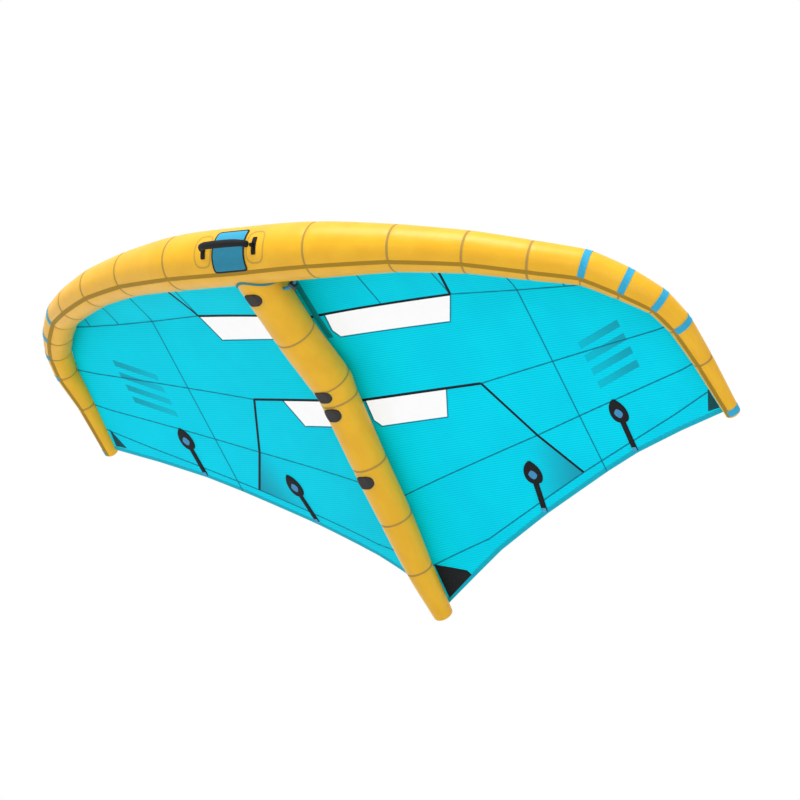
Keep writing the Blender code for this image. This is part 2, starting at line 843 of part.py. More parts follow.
def flat_panel(name, outline, finish, parent, mirror):
    """A sheet inside an outline that follows the canopy's height."""
    flat = drawn_in(outline, panel_gap / 2)
    inner = inside_points(flat)
    points = [Vector(point) for point in list(flat) + inner]
    heights = [point[2] for point in outline] + [float(canopy_height(x, y)) for x, y in inner]
    edges = [(k, (k + 1) % len(flat)) for k in range(len(flat))]
    found, _, faces, sources, _, _ = delaunay_2d_cdt(points, edges, [], 1, weld_distance, True)
    place_of = {source[0]: i for i, source in enumerate(sources)}
    rim = [place_of[k] for k in range(len(flat))]
    sign = -1 if mirror else 1
    bm = bmesh.new()
    layers = []
    for offset in (cloth / 2, -cloth / 2):
        layers.append([bm.verts.new((point.x * sign, point.y, heights[source[0]] + offset))
                       for point, source in zip(found, sources)])
    for layer in layers:
        for face in inner_faces(faces, rim):
            bm.faces.new([layer[i] for i in face])
    for i, j in zip(rim, rim[1:] + rim[:1]):
        bm.faces.new((layers[0][i], layers[0][j], layers[1][j], layers[1][i]))
    return finish_mesh(name, bm, finish, parent)


def window_corners(inner_shares, outer_shares, seam):
    """The window's inner and outer sides, from the seam it starts at to its rear edge."""
    inner, outer = plan(inner_shares), plan(outer_shares)
    line = plan(seam[0])
    for side in (inner, outer):
        side[0] = side[0][0], float(np.interp(side[0][0], [p[0] for p in line], [p[1] for p in line]))
    return lifted(inner), lifted(outer)


def panel_outlines():
    """Outlines of every canopy panel behind the front strip, on the port side."""
    sa, sb, sc, sd, te = canopy_seams
    long_x, corner_x = half_span * long_seam_share, half_span * corner_share
    rear_corner_x, band_corner_x = half_span * rear_corner_share, half_span * band_corner_share
    near, far = window_corners(front_window_inner_shares, front_window_outer_shares, sa)
    near_rear, far_rear = window_corners(rear_window_inner_shares, rear_window_outer_shares, sb)
    y_sa, y_sb, y_sc, y_sd, y_te = [strut_length * seam[0][0][1] for seam in canopy_seams]

    def run(seam, from_x, to_x=None):
        return dense_line(seam_points(seam[0], seam[1], from_x, to_x))

    def back(seam, from_x, to_x=None):
        return run(seam, from_x, to_x)[::-1]

    def across(seam, next_seam, x, next_x):
        return dense_line([seam_points(seam[0], seam[1], x, half_span)[0],
                           seam_points(next_seam[0], next_seam[1], next_x, half_span)[0]])

    def tube_side(seam, next_seam):
        ends = [seat_at_y(strut_length * each[1]) for each in (seam, next_seam)]
        return [tuple(point) for point in seat_curve(*ends).points]

    def strut_side(start_y, stop_y):
        return [tuple(point) for point in strut_curve(start_y, stop_y).points[::-1]]

    rear_edge, rear_edge_2 = dense_line([near[-1], far[-1]]), dense_line([near_rear[-1], far_rear[-1]])
    long_side = across(sa, sb, long_x, long_x)
    corner_side = across(sb, sc, corner_x, rear_corner_x)
    band_side = across(sc, sd, rear_corner_x, band_corner_x)
    return {
        "canopy_middle_inner": round_outline(run(sa, 0.0, near[0][0]), near, rear_edge, far[::-1],
                                             run(sa, far[0][0], long_x), long_side, back(sb, 0.0, long_x),
                                             strut_side(y_sa, y_sb)),
        "front_window": round_outline(run(sa, near[0][0], far[0][0]), far, rear_edge[::-1], near[::-1]),
        "canopy_middle_outer": round_outline(run(sa, long_x), tube_side(sa, sb), back(sb, long_x),
                                             long_side[::-1]),
        "canopy_rear_inner": round_outline(run(sb, 0.0, near_rear[0][0]), near_rear, rear_edge_2,
                                           far_rear[::-1], run(sb, far_rear[0][0], corner_x), corner_side,
                                           back(sc, 0.0, rear_corner_x), strut_side(y_sb, y_sc)),
        "rear_window": round_outline(run(sb, near_rear[0][0], far_rear[0][0]), far_rear,
                                     rear_edge_2[::-1], near_rear[::-1]),
        "canopy_rear_outer": round_outline(run(sb, corner_x), tube_side(sb, sc), back(sc, rear_corner_x),
                                           corner_side[::-1]),
        "canopy_aft_inner": round_outline(run(sc, 0.0, rear_corner_x), band_side,
                                          back(sd, 0.0, band_corner_x), strut_side(y_sc, y_sd)),
        "canopy_aft_outer": round_outline(run(sc, rear_corner_x), tube_side(sc, sd),
                                          back(sd, band_corner_x), band_side[::-1]),
        "trailing_band": round_outline(run(sd, 0.0), tube_side(sd, te), back(te, 0.0),
                                       strut_side(y_sd, y_te)),
    }


def make_front_strip(parent, finish):
    """The two panels each side that rise from the leading edge to the first seam."""
    seam = canopy_seams[0]
    long_x = half_span * long_seam_share
    long_s = seat_at_x(long_x)
    stop_s = seat_at_y(strut_length * seam[1]) - seam_half_width * 2
    inner = dense_line(seam_points(seam[0], seam[1], 0.0, long_x))
    outer = dense_line(seam_points(seam[0], seam[1], long_x))
    length = Curve(outer).length
    outer[-1] = tuple(Curve(outer).at(1 - seam_half_width * 2 / length))
    middle = rise_curve(seat(long_s), outer[0])
    for side, mirror in (("port", False), ("starboard", True)):
        cloth_panel(f"canopy_front_inner_{side}", seat_curve(0.0, long_s), Curve(inner),
                    rise_curve(seat(0.0), inner[0]), middle, finish, parent, mirror)
        cloth_panel(f"canopy_front_outer_{side}", seat_curve(long_s, stop_s), Curve(outer),
                    middle, straight(seat(stop_s), outer[-1]), finish, parent, mirror)


def make_canopy(parent):
    ripstop = material("canopy_cyan", CYAN, 0.5)
    film = material("window_film", CLEAR, 0.12)
    make_front_strip(parent, ripstop)
    trees = []
    for name, outline in panel_outlines().items():
        finish = film if name.endswith("window") else ripstop
        flat_panel(f"{name}_starboard", outline, finish, parent, True)
        made = flat_panel(f"{name}_port", outline, finish, parent, False)
        corners = [vertex.co for vertex in made.data.vertices]
        trees.append(BVHTree.FromPolygons(corners, [face.vertices for face in made.data.polygons]))
    return trees


def underside(trees, x, y):
    """Height of the port canopy's underside at a place; off its rim, the nearest cloth's."""
    start = Vector((x, y, -half_span))
    hits = [tree.ray_cast(start, Vector((0, 0, 1)))[0] for tree in trees]
    heights = [hit.z for hit in hits if hit is not None]
    if heights:
        return min(heights)
    near = [tree.find_nearest(Vector(on_canopy(x, y)))[::3] for tree in trees]
    return min(near, key=lambda found: found[1])[0].z - cloth


def make_patches(parent, trees):
    black = material("patch_black", BLACK, 0.6)
    drop = under_cloth_room + patch_cloth / 2
    for label, shares in (("tail_patch", tail_patch_shares), ("tip_patch", tip_patch_shares)):
        corners = [np.array(point) for point in plan(shares)]
        if len(corners) == 3:
            corners.append((corners[0] + corners[2]) / 2)
        front = straight(corners[0], corners[1])
        rear = straight(corners[3], corners[2])
        grid = []
        for v in np.linspace(0, 1, 4):
            line = []
            for u in np.linspace(0, 1, 4):
                x, y = front.at(u) * (1 - v) + rear.at(u) * v
                line.append((x, y, underside(trees, x, y) - drop))
            grid.append(line)
        for side, mirror in (("port", False), ("starboard", True)):
            sheet(f"{label}_{side}", np.array(grid), patch_cloth, black, parent, mirror)


def pocket_half_width(distance):
    """Half width of the teardrop pad and of the narrow pocket behind it."""
    narrow = batten_width / 2 + pocket_margin
    if distance >= pad_length:
        return narrow
    peak = pad_length * pad_full_share
    if distance <= peak:
        share = 1 - distance / peak
        return narrow * 0.5 + (pad_width / 2 - narrow * 0.5) * sqrt(1 - share ** 2)
    share = (distance - peak) / (pad_length - peak)
    return pad_width / 2 + (narrow - pad_width / 2) * share ** 2


def batten_tip_y(shares):
    """Where a pocket's pad starts, one batten length ahead of the trailing edge's hem."""
    line = plan(trailing_edge_shares)
    edge = np.interp(half_span * shares[1], [p[0] for p in line], [p[1] for p in line])
    return edge - seam_half_width - batten_length


def batten_section(trees, shares, distance, section, drop):
    """A section across one batten that follows the canopy's underside."""
    x = half_span * (shares[0] + (shares[1] - shares[0]) * distance / batten_length)
    y = batten_tip_y(shares) + distance
    return [(x + dx, y, underside(trees, x + dx, y) - drop + dz) for dx, dz in section]


def batten_loops(shares, trees):
    """Sections of the pocket, an open channel under the cloth, and of the batten in it."""
    depth = batten_thickness + clearance * 2
    line = plan(band_seam_shares)
    seam_y = float(np.interp(half_span * shares[1], [p[0] for p in line], [p[1] for p in line]))
    crossing = seam_y - batten_tip_y(shares)
    step = pad_length / pad_steps
    stations = [step * k for k in range(pad_steps + 1)]
    narrow = np.linspace(pad_length, batten_length, pocket_steps + 1)[1:]
    stations += [d for d in narrow if abs(d - crossing) > step]
    stations = sorted(stations + [crossing])
    pocket = []
    for distance in stations:
        wide = pocket_half_width(distance)
        slot = min(batten_width / 2 + clearance, wide * pocket_slot_share)
        section = ((-wide, 0), (-slot, 0), (-slot, -depth), (slot, -depth), (slot, 0), (wide, 0),
                   (wide, -depth - pocket_cloth), (-wide, -depth - pocket_cloth))
        pocket.append(batten_section(trees, shares, distance, section, under_cloth_room))
    rod = []
    half = batten_width / 2
    section = (-half, 0), (half, 0), (half, -batten_thickness), (-half, -batten_thickness)
    for distance in [d for d in stations if d > pad_length * batten_start_share]:
        rod.append(batten_section(trees, shares, distance, section, under_cloth_room + clearance))
    return pocket, rod


def make_battens(parent, trees):
    black = material("pocket_black", BLACK, 0.55)
    glass = material("batten_glass", GREY, 0.4)
    for label, shares in (("inner", inner_batten_shares), ("outer", outer_batten_shares)):
        pocket, rod = batten_loops(shares, trees)
        for side, mirror in (("port", False), ("starboard", True)):
            for name, chain, finish in (("batten_pocket", pocket, black), ("batten", rod, glass)):
                bm = bmesh.new()
                made = skin(bm, chain)
                bm.faces.new(made[0])
                bm.faces.new(made[-1])
                if mirror:
                    bmesh.ops.scale(bm, vec=(-1, 1, 1), verts=bm.verts[:])
                finish_mesh(f"{name}_{label}_{side}", bm, finish, parent)


def hinge_lift():
    """Height of the grip's swing axis over the leading edge."""
    return clearance + anchor_thickness + clearance + knuckle_radius + anchor_room


def hold_point():
    """Centre of the hand gap between the grip and the chafe pad."""
    return leading_edge.surface(0.0, handle_angle, hand_gap_middle())


def hand_gap_middle():
    gap_bottom = clearance + pad_plate_thickness
    gap_top = handle_height - grip_radius
    return (gap_bottom + gap_top) / 2


def curved_plate(name, s_values, angles, thickness, finish, parent):
    """A plate that follows the leading edge tube."""
    grid = []
    for s in s_values:
        line = [leading_edge.surface(s, a, clearance + thickness / 2) for a in angles]
        grid.append([tuple(p) for p in line])
    return sheet(name, np.array(grid), thickness, finish, parent)


def plate_angles(start, stop, s=0.0):
    """Start, stop and the tube's own edge lines between them."""
    step = tau / casing_sides
    first = leading_edge.vertex_angle(s)
    lines = [first - step * k for k in range(-casing_sides, casing_sides * 2)]
    inside = sorted(a for a in lines if start + angle_room < a < stop - angle_room)
    return [start] + inside + [stop]


def cylinder(bm, radius, bottom, top, sides=round_sides):
    """A round bar along Z."""
    circle = [(radius * cos(tau * k / sides), radius * sin(tau * k / sides)) for k in range(sides)]
    prism(bm, circle, bottom, top)


def clear_bore(bm, radius, bottom, top, sides=round_sides):
    """A round bar along Z whose flats clear the radius."""
    cylinder(bm, radius / cos(pi / sides), bottom, top, sides)


def bar(name, radius, length, matrix, parent, sides=bar_sides):
    """A guide for a round bar along the matrix's Y axis, centred on its origin."""
    bm = bmesh.new()
    cylinder(bm, radius, -length / 2, length / 2, sides)
    bmesh.ops.rotate(bm, matrix=Matrix.Rotation(pi / 2, 3, "X"), verts=bm.verts[:])
    item = make_cutter(name, bm, parent)
    item.matrix_local = matrix
    return item


def block(name, low, high, matrix, parent):
    """A guide for a box between two corners."""
    bm = bmesh.new()
    prism(bm, [(low[0], low[1]), (high[0], low[1]), (high[0], high[1]), (low[0], high[1])], low[2], high[2])
    item = make_cutter(name, bm, parent)
    item.matrix_local = matrix
    return item


def grip_path(rise):
    """Centre line and radius of the arched grip, from one end's rounded foot to the other's."""
    reach = handle_length / 2 - eye_width / 2 - clearance - knuckle_radius
    foot = eye_radius + anchor_room
    points = []
    for angle in foot_angles:
        points.append((-reach, -knuckle_radius * cos(angle), knuckle_radius * sin(angle)))
    for k in range(grip_points):
        a = pi * k / (grip_points - 1)
        x = -reach * abs(cos(a)) ** (2 / grip_arch_power) * (1 if cos(a) >= 0 else -1)
        z = rise * sin(a) ** (2 / grip_arch_power)
        grown = max(0.0, (z - foot) / (rise - foot))
        points.append((x, z, knuckle_radius + (grip_radius - knuckle_radius) * grown))
    return points + [(-x, z, r) for x, z, r in points[len(foot_angles) - 1::-1]]


def make_grip(axis, rise, finish):
    """The padded grip, with a stub at each foot that turns in its anchor's eye."""
    path = grip_path(rise)
    bm = bmesh.new()
    loops = []
    for k, (x, z, radius) in enumerate(path):
        ahead = path[min(k + 1, len(path) - 1)]
        behind = path[max(k - 1, 0)]
        along = Vector((ahead[0] - behind[0], 0, ahead[1] - behind[1])).normalized()
        out = along.cross(Vector((0, 1, 0)))
        loops.append([Vector((x, 0, z)) + (out * cos(tau * j / grip_sides)
                                           + Vector((0, 1, 0)) * sin(tau * j / grip_sides)) * radius
                      for j in range(grip_sides)])
    made = skin(bm, loops)
    bm.faces.new(made[0])
    bm.faces.new(made[-1])
    grip = finish_mesh("front_grip", bm, finish, axis)
    turn = Matrix.Rotation(pi / 2, 4, "Z")
    for side, sign in (("port", 1), ("starboard", -1)):
        reach = handle_length / 2 - eye_width / 2 - clearance - knuckle_radius
        stop = handle_length / 2 + eye_width / 2 + clearance
        shift = Matrix.Translation((sign * (reach + stop) / 2, 0, 0))
        cut(grip, bar(f"grip_stub_{side}", stub_radius, stop - reach, shift @ turn, axis), "UNION")


def make_front_handle(parent):
    black = material("grip_black", BLACK, 0.7)
    neoprene = material("neoprene_blue", TEAL, 0.8)
    spread = anchor_length / leading_edge_diameter
    ends = [leading_edge.surface(sign * handle_length / 2, handle_angle, hinge_lift()) for sign in (-1, 1)]
    middle = (ends[0] + ends[1]) / 2
    radial = leading_edge.direction(0.0, handle_angle)
    axis_place = axis_matrix(middle, radial, (1, 0, 0))
    turn = Matrix.Rotation(pi / 2, 4, "Z")
    for side, sign in (("port", 1), ("starboard", -1)):
        centre = sign * handle_length / 2
        s_values = [centre - anchor_width / 2, centre + anchor_width / 2]
        anchor = curved_plate(f"front_grip_anchor_{side}", s_values,
                              plate_angles(handle_angle - spread, handle_angle + spread), anchor_thickness,
                              black, parent)
        near_x, far_x = sorted((centre - eye_width / 2, centre + eye_width / 2))
        root = -hinge_lift() + clearance + anchor_thickness / 2 + anchor_room
        cut(anchor, block(f"eye_root_{side}", (near_x, -eye_radius, root), (far_x, eye_radius, 0),
                          axis_place, parent), "UNION")
        shift = Matrix.Translation((centre, 0, 0))
        cut(anchor, bar(f"eye_{side}", eye_radius, eye_width, axis_place @ shift @ turn, parent, round_sides),
            "UNION")
        cut(anchor, bar(f"eye_bore_{side}", stub_radius + clearance, eye_width * 2,
                        axis_place @ shift @ turn, parent))
    half = pad_plate_width / 2
    curved_plate("front_chafe_pad", [-half, 0.0, half],
                 plate_angles(pad_plate_top_angle, pad_plate_bottom_angle), pad_plate_thickness, neoprene, parent)
    axis = make_empty("front_grip_axis", axis_place, parent)
    foot = leading_edge.surface(0.0, handle_angle, handle_height)
    make_grip(axis, (foot - middle).dot(radial), black)


def mount_pad_top(y):
    """Height of a pad's outer face: level in the middle, with sides that follow the strut round."""
    beyond = max(0.0, abs(y) - mount_pad_flat_width / 2)
    return mount_pad_height - mount_pad_drop * beyond / (mount_pad_width / 2 - mount_pad_flat_width / 2)


def make_mount_pads(parent):
    plastic = material("pad_charcoal", CHARCOAL, 0.55)
    cutter = tube_cutter("strut_clearance", strut, strut.full, mount_pad_room, parent)
    ys = [strut.row(s)[1] for s in strut.full]
    for k, share in enumerate(mount_pad_shares):
        s = float(np.interp(strut_length * share, ys, strut.full))
        length = mount_pad_slot_spacing + mount_pad_slot_width + 2 * mount_pad_rim
        behind, surface, ahead = (strut.surface(s + length / 2 * k, -pi / 2) for k in (-1, 0, 1))
        out = strut.frame(s)[1].cross(ahead - behind)
        bm = bmesh.new()
        outline = superellipse(length, mount_pad_width, mount_pad_power, pad_sides)
        inset = superellipse(length - 2 * mount_pad_edge, mount_pad_width - 2 * mount_pad_edge,
                             mount_pad_power, pad_sides)
        flat = superellipse(length - 4 * mount_pad_edge, mount_pad_flat_width, mount_pad_power, pad_sides)
        loops = skin(bm, [[(x, y, -mount_pad_width / 4) for x, y in outline],
                          [(x, y, mount_pad_top(y) - mount_pad_edge) for x, y in outline],
                          [(x, y, mount_pad_top(y)) for x, y in inset],
                          [(x, y, mount_pad_height) for x, y in flat]])
        bm.faces.new(loops[0])
        bm.faces.new(loops[-1])
        pad = finish_mesh(f"strut_handle_mount_{k + 1}", bm, plastic, parent)
        pad.matrix_local = axis_matrix(surface, out, ahead - behind)
        cut(pad, cutter)
        for sign in (-1, 1):
            bm = bmesh.new()
            shape = [(y + sign * mount_pad_slot_spacing / 2, x)
                     for x, y in slot_outline(mount_pad_slot_length, mount_pad_slot_width)]
            prism(bm, shape, -cut_overrun, cut_overrun)
            slot = make_cutter(f"mount_slot_{k + 1}_{sign}", bm, parent)
            slot.matrix_local = pad.matrix_local.copy()
            cut(pad, slot)


def make_valve(parent, casing, bladder):
    plastic = material("valve_grey", CHARCOAL, 0.4)
    s = -valve_distance
    surface = leading_edge.surface(s, valve_angle)
    normal = leading_edge.direction(s, valve_angle)
    matrix = axis_matrix(surface, normal, leading_edge.frame(s)[0])
    near = [x for x in leading_edge.full if abs(x - s) < leading_edge_diameter]
    around = sorted(near + [s - leading_edge_diameter / 2, s + leading_edge_diameter / 2])
    saddle = tube_cutter("valve_saddle", leading_edge, around, clearance, parent)

    base = valve_neck_height + clearance
    outer = insert_flange_radius + clearance * 2 + cap_wall
    top = base + insert_flange_height + insert_wing_height + clearance
    hinge_reach = outer + cap_hinge_radius
    hinge_height = top - cap_skirt
    hinge_matrix = matrix @ Matrix.Translation((hinge_reach, 0, hinge_height))

    bm = bmesh.new()
    inside = (valve_bore_radius + valve_neck_radius) / 2
    edge = mount_pad_edge
    revolve(bm, [(inside, -valve_collar_depth), (valve_collar_radius, -valve_collar_depth),
                 (valve_collar_radius, valve_collar_height - edge),
                 (valve_collar_radius - edge, valve_collar_height), (inside, valve_collar_height)])
    body = finish_mesh("valve_base", bm, plastic, parent)
    body.matrix_local = matrix
    cut(body, saddle)
    bm = bmesh.new()
    revolve(bm, [(valve_bore_radius, -valve_neck_depth), (valve_neck_radius - clearance, -valve_neck_depth),
                 (valve_neck_radius - clearance, valve_neck_height), (valve_bore_radius, valve_neck_height)])
    neck = make_cutter("valve_neck", bm, parent)
    neck.matrix_local = matrix
    cut(body, neck, "UNION")
    knuckle_half = cap_lug_width / 2
    for sign in (-1, 1):
        near_y, far_y = sorted((sign * (knuckle_half + clearance), sign * (knuckle_half + cap_hinge_radius * 2)))
        lug = block(f"cap_lug_{sign}", (hinge_reach - cap_hinge_radius, near_y, valve_collar_height / 2),
                    (hinge_reach + cap_hinge_radius, far_y, hinge_height), matrix, parent)
        cut(body, lug, "UNION")
        shift = Matrix.Translation((0, (near_y + far_y) / 2, 0))
        cut(body, bar(f"cap_lug_eye_{sign}", cap_hinge_radius, far_y - near_y, hinge_matrix @ shift, parent),
            "UNION")
    pin_radius = cap_hinge_radius / 2
    pin_length = cap_lug_width + cap_hinge_radius * 2
    bore = bar("cap_pin_bore", pin_radius + cap_pin_room, pin_length + clearance * 2, hinge_matrix, parent)
    cut(body, bore)

    bm = bmesh.new()
    clear_bore(bm, valve_neck_radius, -cut_overrun * 2, cut_overrun)
    drill = make_cutter("valve_hole", bm, parent)
    drill.matrix_local = matrix
    cut(casing, drill)
    cut(bladder, drill)

    turn = make_empty("valve_insert_axis", matrix, parent)
    bm = bmesh.new()
    stem = valve_bore_radius - insert_stem_room
    flange = base + insert_flange_height
    revolve(bm, [(insert_bore_radius, base - insert_depth), (stem, base - insert_depth), (stem, base),
                 (insert_flange_radius, base), (insert_flange_radius, flange), (insert_bore_radius, flange)])
    insert = finish_mesh("valve_insert", bm, plastic, turn)
    for sign in (-1, 1):
        reach = insert_flange_radius - insert_bore_radius
        middle = sign * (insert_flange_radius + insert_bore_radius) / 2
        bm = bmesh.new()
        outline = superellipse(reach * insert_wing_share, insert_wing_width, insert_wing_power, bar_sides)
        prism(bm, [(middle + x, y) for x, y in outline], flange - insert_flange_height / 2,
              flange + insert_wing_height)
        cut(insert, make_cutter(f"insert_wing_{sign}", bm, turn), "UNION")

    hinge = make_empty("valve_cap_axis", hinge_matrix, parent)
    bm = bmesh.new()
    centre = cap_centre_radius
    revolve(bm, [(centre, top), (outer - cap_wall, top), (outer - cap_wall, hinge_height),
                 (outer, hinge_height), (outer, top + cap_wall / 2), (outer - cap_wall / 2, top + cap_wall),
                 (centre, top + cap_wall)])
    bmesh.ops.translate(bm, vec=(-hinge_reach, 0, -hinge_height), verts=bm.verts[:])
    cap = finish_mesh("valve_cap", bm, plastic, hinge)
    still = Matrix.Identity(4)
    web = block("cap_web", (-cap_hinge_radius - cap_wall / 2, -knuckle_half, -cap_hinge_radius / 2),
                (0, knuckle_half, cap_hinge_radius), still, hinge)
    cut(cap, web, "UNION")
    cut(cap, bar("cap_knuckle", cap_hinge_radius, cap_lug_width, still, hinge), "UNION")
    cut(cap, bar("cap_pin", pin_radius, pin_length, still, hinge), "UNION")


def hose_route():
    """Straight out of the leading edge, round in one bow, and straight into the strut's port side."""
    inside = seam_pinch + casing_wall + bladder_room + bladder_wall + hose_radius
    leave = leading_edge.direction(hose_leave_distance, hose_leave_angle)
    start = leading_edge.surface(hose_leave_distance, hose_leave_angle)
    s = float(np.interp(strut_length * hose_arrive_share, [strut.row(k)[1] for k in strut.full], strut.full))
    arrive = strut.direction(s, pi)
    stop = strut.surface(s, pi)
    first = start + leave * hose_radius
    last = stop + arrive * hose_radius
    points = [start - leave * inside * 2, start]
    for t in np.linspace(0, 1, hose_points):
        h = (1 - t) ** 3, 3 * t * (1 - t) ** 2, 3 * t ** 2 * (1 - t), t ** 3
        points.append(first * h[0] + (first + leave * hose_bow) * h[1] + (last + arrive * hose_bow) * h[2]
                      + last * h[3])
    points += [stop, stop - arrive * inside * 2]
    return points, (start, leave), (stop, arrive)


def make_hose(parent, casings, bladders):
    blue = material("hose_blue", TEAL, 0.45)
    points, *ends = hose_route()
    data = bpy.data.curves.new("inflation_hose", "CURVE")
    data.dimensions = "3D"
    data.bevel_depth = hose_radius
    data.bevel_resolution = 2
    data.use_fill_caps = True
    spline = data.splines.new("POLY")
    spline.points.add(len(points) - 1)
    for point, place_at in zip(spline.points, points):
        point.co = (*place_at, 1)
    data.materials.append(blue)
    place(bpy.data.objects.new("inflation_hose", data), parent)
    for label, (at, out), casing, bladder in zip(("main", "strut"), ends, casings, bladders):
        bm = bmesh.new()
        clear_bore(bm, hose_radius + clearance, -cut_overrun, cut_overrun / 2)
        drill = make_cutter(f"hose_hole_{label}", bm, parent)
        drill.matrix_local = axis_matrix(at, out, (0, 0, 1))
        cut(casing, drill)
        cut(bladder, drill)
    return points


def make_clamp(parent, points):
    """A pinch clamp round the hose: a frame with a knuckle, and a lever that closes on it."""
    black = material("clamp_black", CHARCOAL, 0.5)
    k = len(points) // 2
    middle = (points[k] + points[k - 1]) / 2
    along = (points[k] - points[k - 1]).normalized()
    matrix = axis_matrix(middle, along, (0, 0, -1))
    half_height, half_width, half_length = clamp_height / 2, clamp_width / 2, clamp_length / 2
    bm = bmesh.new()
    prism(bm, superellipse(clamp_height, clamp_width, clamp_power, block_sides), -half_length, half_length)
    body = finish_mesh("hose_clamp", bm, black, parent)
    body.matrix_local = matrix
    bm = bmesh.new()
    clear_bore(bm, hose_radius + clamp_window_room, -cut_overrun, cut_overrun)
    window = make_cutter("clamp_window", bm, parent)
    window.matrix_local = matrix
    cut(body, window)
    knuckle = clamp_pin_radius * 2
    pivot = Matrix.Translation((half_height + knuckle + clearance, half_width - knuckle, 0))
    turn = Matrix.Rotation(pi / 2, 4, "X")
    hinge_matrix = matrix @ pivot
    third = clamp_length / 3
    ear_half = knuckle * clamp_ear_share
    ear = block("clamp_ear", (half_height - knuckle, half_width - knuckle - ear_half, -third / 2),
                (half_height + knuckle + clearance, half_width - knuckle + ear_half, third / 2), matrix, parent)
    cut(body, ear, "UNION")
    cut(body, bar("clamp_knuckle", knuckle, third, hinge_matrix @ turn, parent), "UNION")
    cut(body, bar("clamp_bore", clamp_pin_radius + clearance, clamp_length * 2, hinge_matrix @ turn, parent))
    hinge = make_empty("clamp_lever_axis", hinge_matrix, parent)
    still = Matrix.Identity(4)
    thick = clamp_lever_thickness / 2
    bm = bmesh.new()
    prism(bm, [(-thick, -clamp_lever_length), (thick, -clamp_lever_length),
               (thick, -knuckle - clearance * 2), (-thick, -knuckle - clearance * 2)], -half_length, half_length)
    lever = finish_mesh("clamp_lever", bm, black, hinge)
    for sign in (-1, 1):
        low, high = sorted((sign * (third / 2 + clearance), sign * half_length))
        cut(lever, block(f"lever_cheek_{sign}", (-thick, -knuckle * 2, low), (thick, 0, high), still, hinge), "UNION")
        shift = Matrix.Translation((0, 0, (low + high) / 2))
        cut(lever, bar(f"lever_knuckle_{sign}", knuckle, high - low, shift @ turn, hinge), "UNION")
    cut(lever, bar("lever_pin", clamp_pin_radius, clamp_length * clamp_pin_share, turn, hinge), "UNION")


def build():
    clear_scene()
    make_tubes()
    frame = bpy.data.objects.new("wing_frame", None)
    bpy.context.scene.collection.objects.link(frame)
    turn = Matrix.Rotation(-wing_pitch, 4, "X")
    frame.matrix_world = turn @ Matrix.Translation(-hold_point())
    casings = make_casings(frame)
    main_bladder, strut_bladder = make_bladders(frame)
    trees = make_canopy(frame)
    make_patches(frame, trees)
    make_battens(frame, trees)
    make_front_handle(frame)
    make_mount_pads(frame)
    make_valve(frame, casings["centre"], main_bladder)
    route = make_hose(frame, (casings["centre"], casings["strut_front"]), (main_bladder, strut_bladder))
    make_clamp(frame, route)


build()
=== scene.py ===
"""Looks of the wingfoil wing: inflated skins, canopy, tapes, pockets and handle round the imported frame.

Soft pieces are drawn level, nose towards -Y, port side towards +X and canopy up. They are then pitched
nose-up about the hand gap of the front handle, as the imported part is.
"""
import json
from math import cos, pi, radians, sin, tau

import bmesh
import bpy
import numpy as np
from mathutils import Matrix, Vector


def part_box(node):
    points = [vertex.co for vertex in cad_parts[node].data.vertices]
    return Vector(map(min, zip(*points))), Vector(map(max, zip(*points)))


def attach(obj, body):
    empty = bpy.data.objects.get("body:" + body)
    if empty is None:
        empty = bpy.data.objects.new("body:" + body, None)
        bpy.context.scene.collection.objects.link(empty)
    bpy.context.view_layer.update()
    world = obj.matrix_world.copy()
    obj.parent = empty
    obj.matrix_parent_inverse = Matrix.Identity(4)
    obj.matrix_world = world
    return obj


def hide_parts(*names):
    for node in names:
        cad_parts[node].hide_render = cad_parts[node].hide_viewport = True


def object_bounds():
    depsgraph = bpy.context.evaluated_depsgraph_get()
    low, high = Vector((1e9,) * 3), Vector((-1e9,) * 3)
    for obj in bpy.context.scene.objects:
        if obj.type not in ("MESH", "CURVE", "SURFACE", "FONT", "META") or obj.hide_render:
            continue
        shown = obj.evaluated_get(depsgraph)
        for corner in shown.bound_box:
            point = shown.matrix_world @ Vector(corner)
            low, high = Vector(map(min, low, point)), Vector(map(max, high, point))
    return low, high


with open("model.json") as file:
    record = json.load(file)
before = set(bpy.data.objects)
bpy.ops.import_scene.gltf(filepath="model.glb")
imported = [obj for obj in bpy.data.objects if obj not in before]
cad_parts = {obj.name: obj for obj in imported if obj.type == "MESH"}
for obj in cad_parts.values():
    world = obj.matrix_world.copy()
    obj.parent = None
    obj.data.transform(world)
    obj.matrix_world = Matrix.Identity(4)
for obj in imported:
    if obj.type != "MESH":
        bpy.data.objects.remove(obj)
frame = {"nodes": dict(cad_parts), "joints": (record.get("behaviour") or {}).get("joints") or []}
cad_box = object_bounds()

MM = 0.001
sides = (("port", 1), ("starboard", -1))

# Attitude: the level wing is pitched about the hand gap of its front handle
wing_pitch = radians(50.8)
handle_angle = radians(-140)
hand_gap_reach = 0.13527

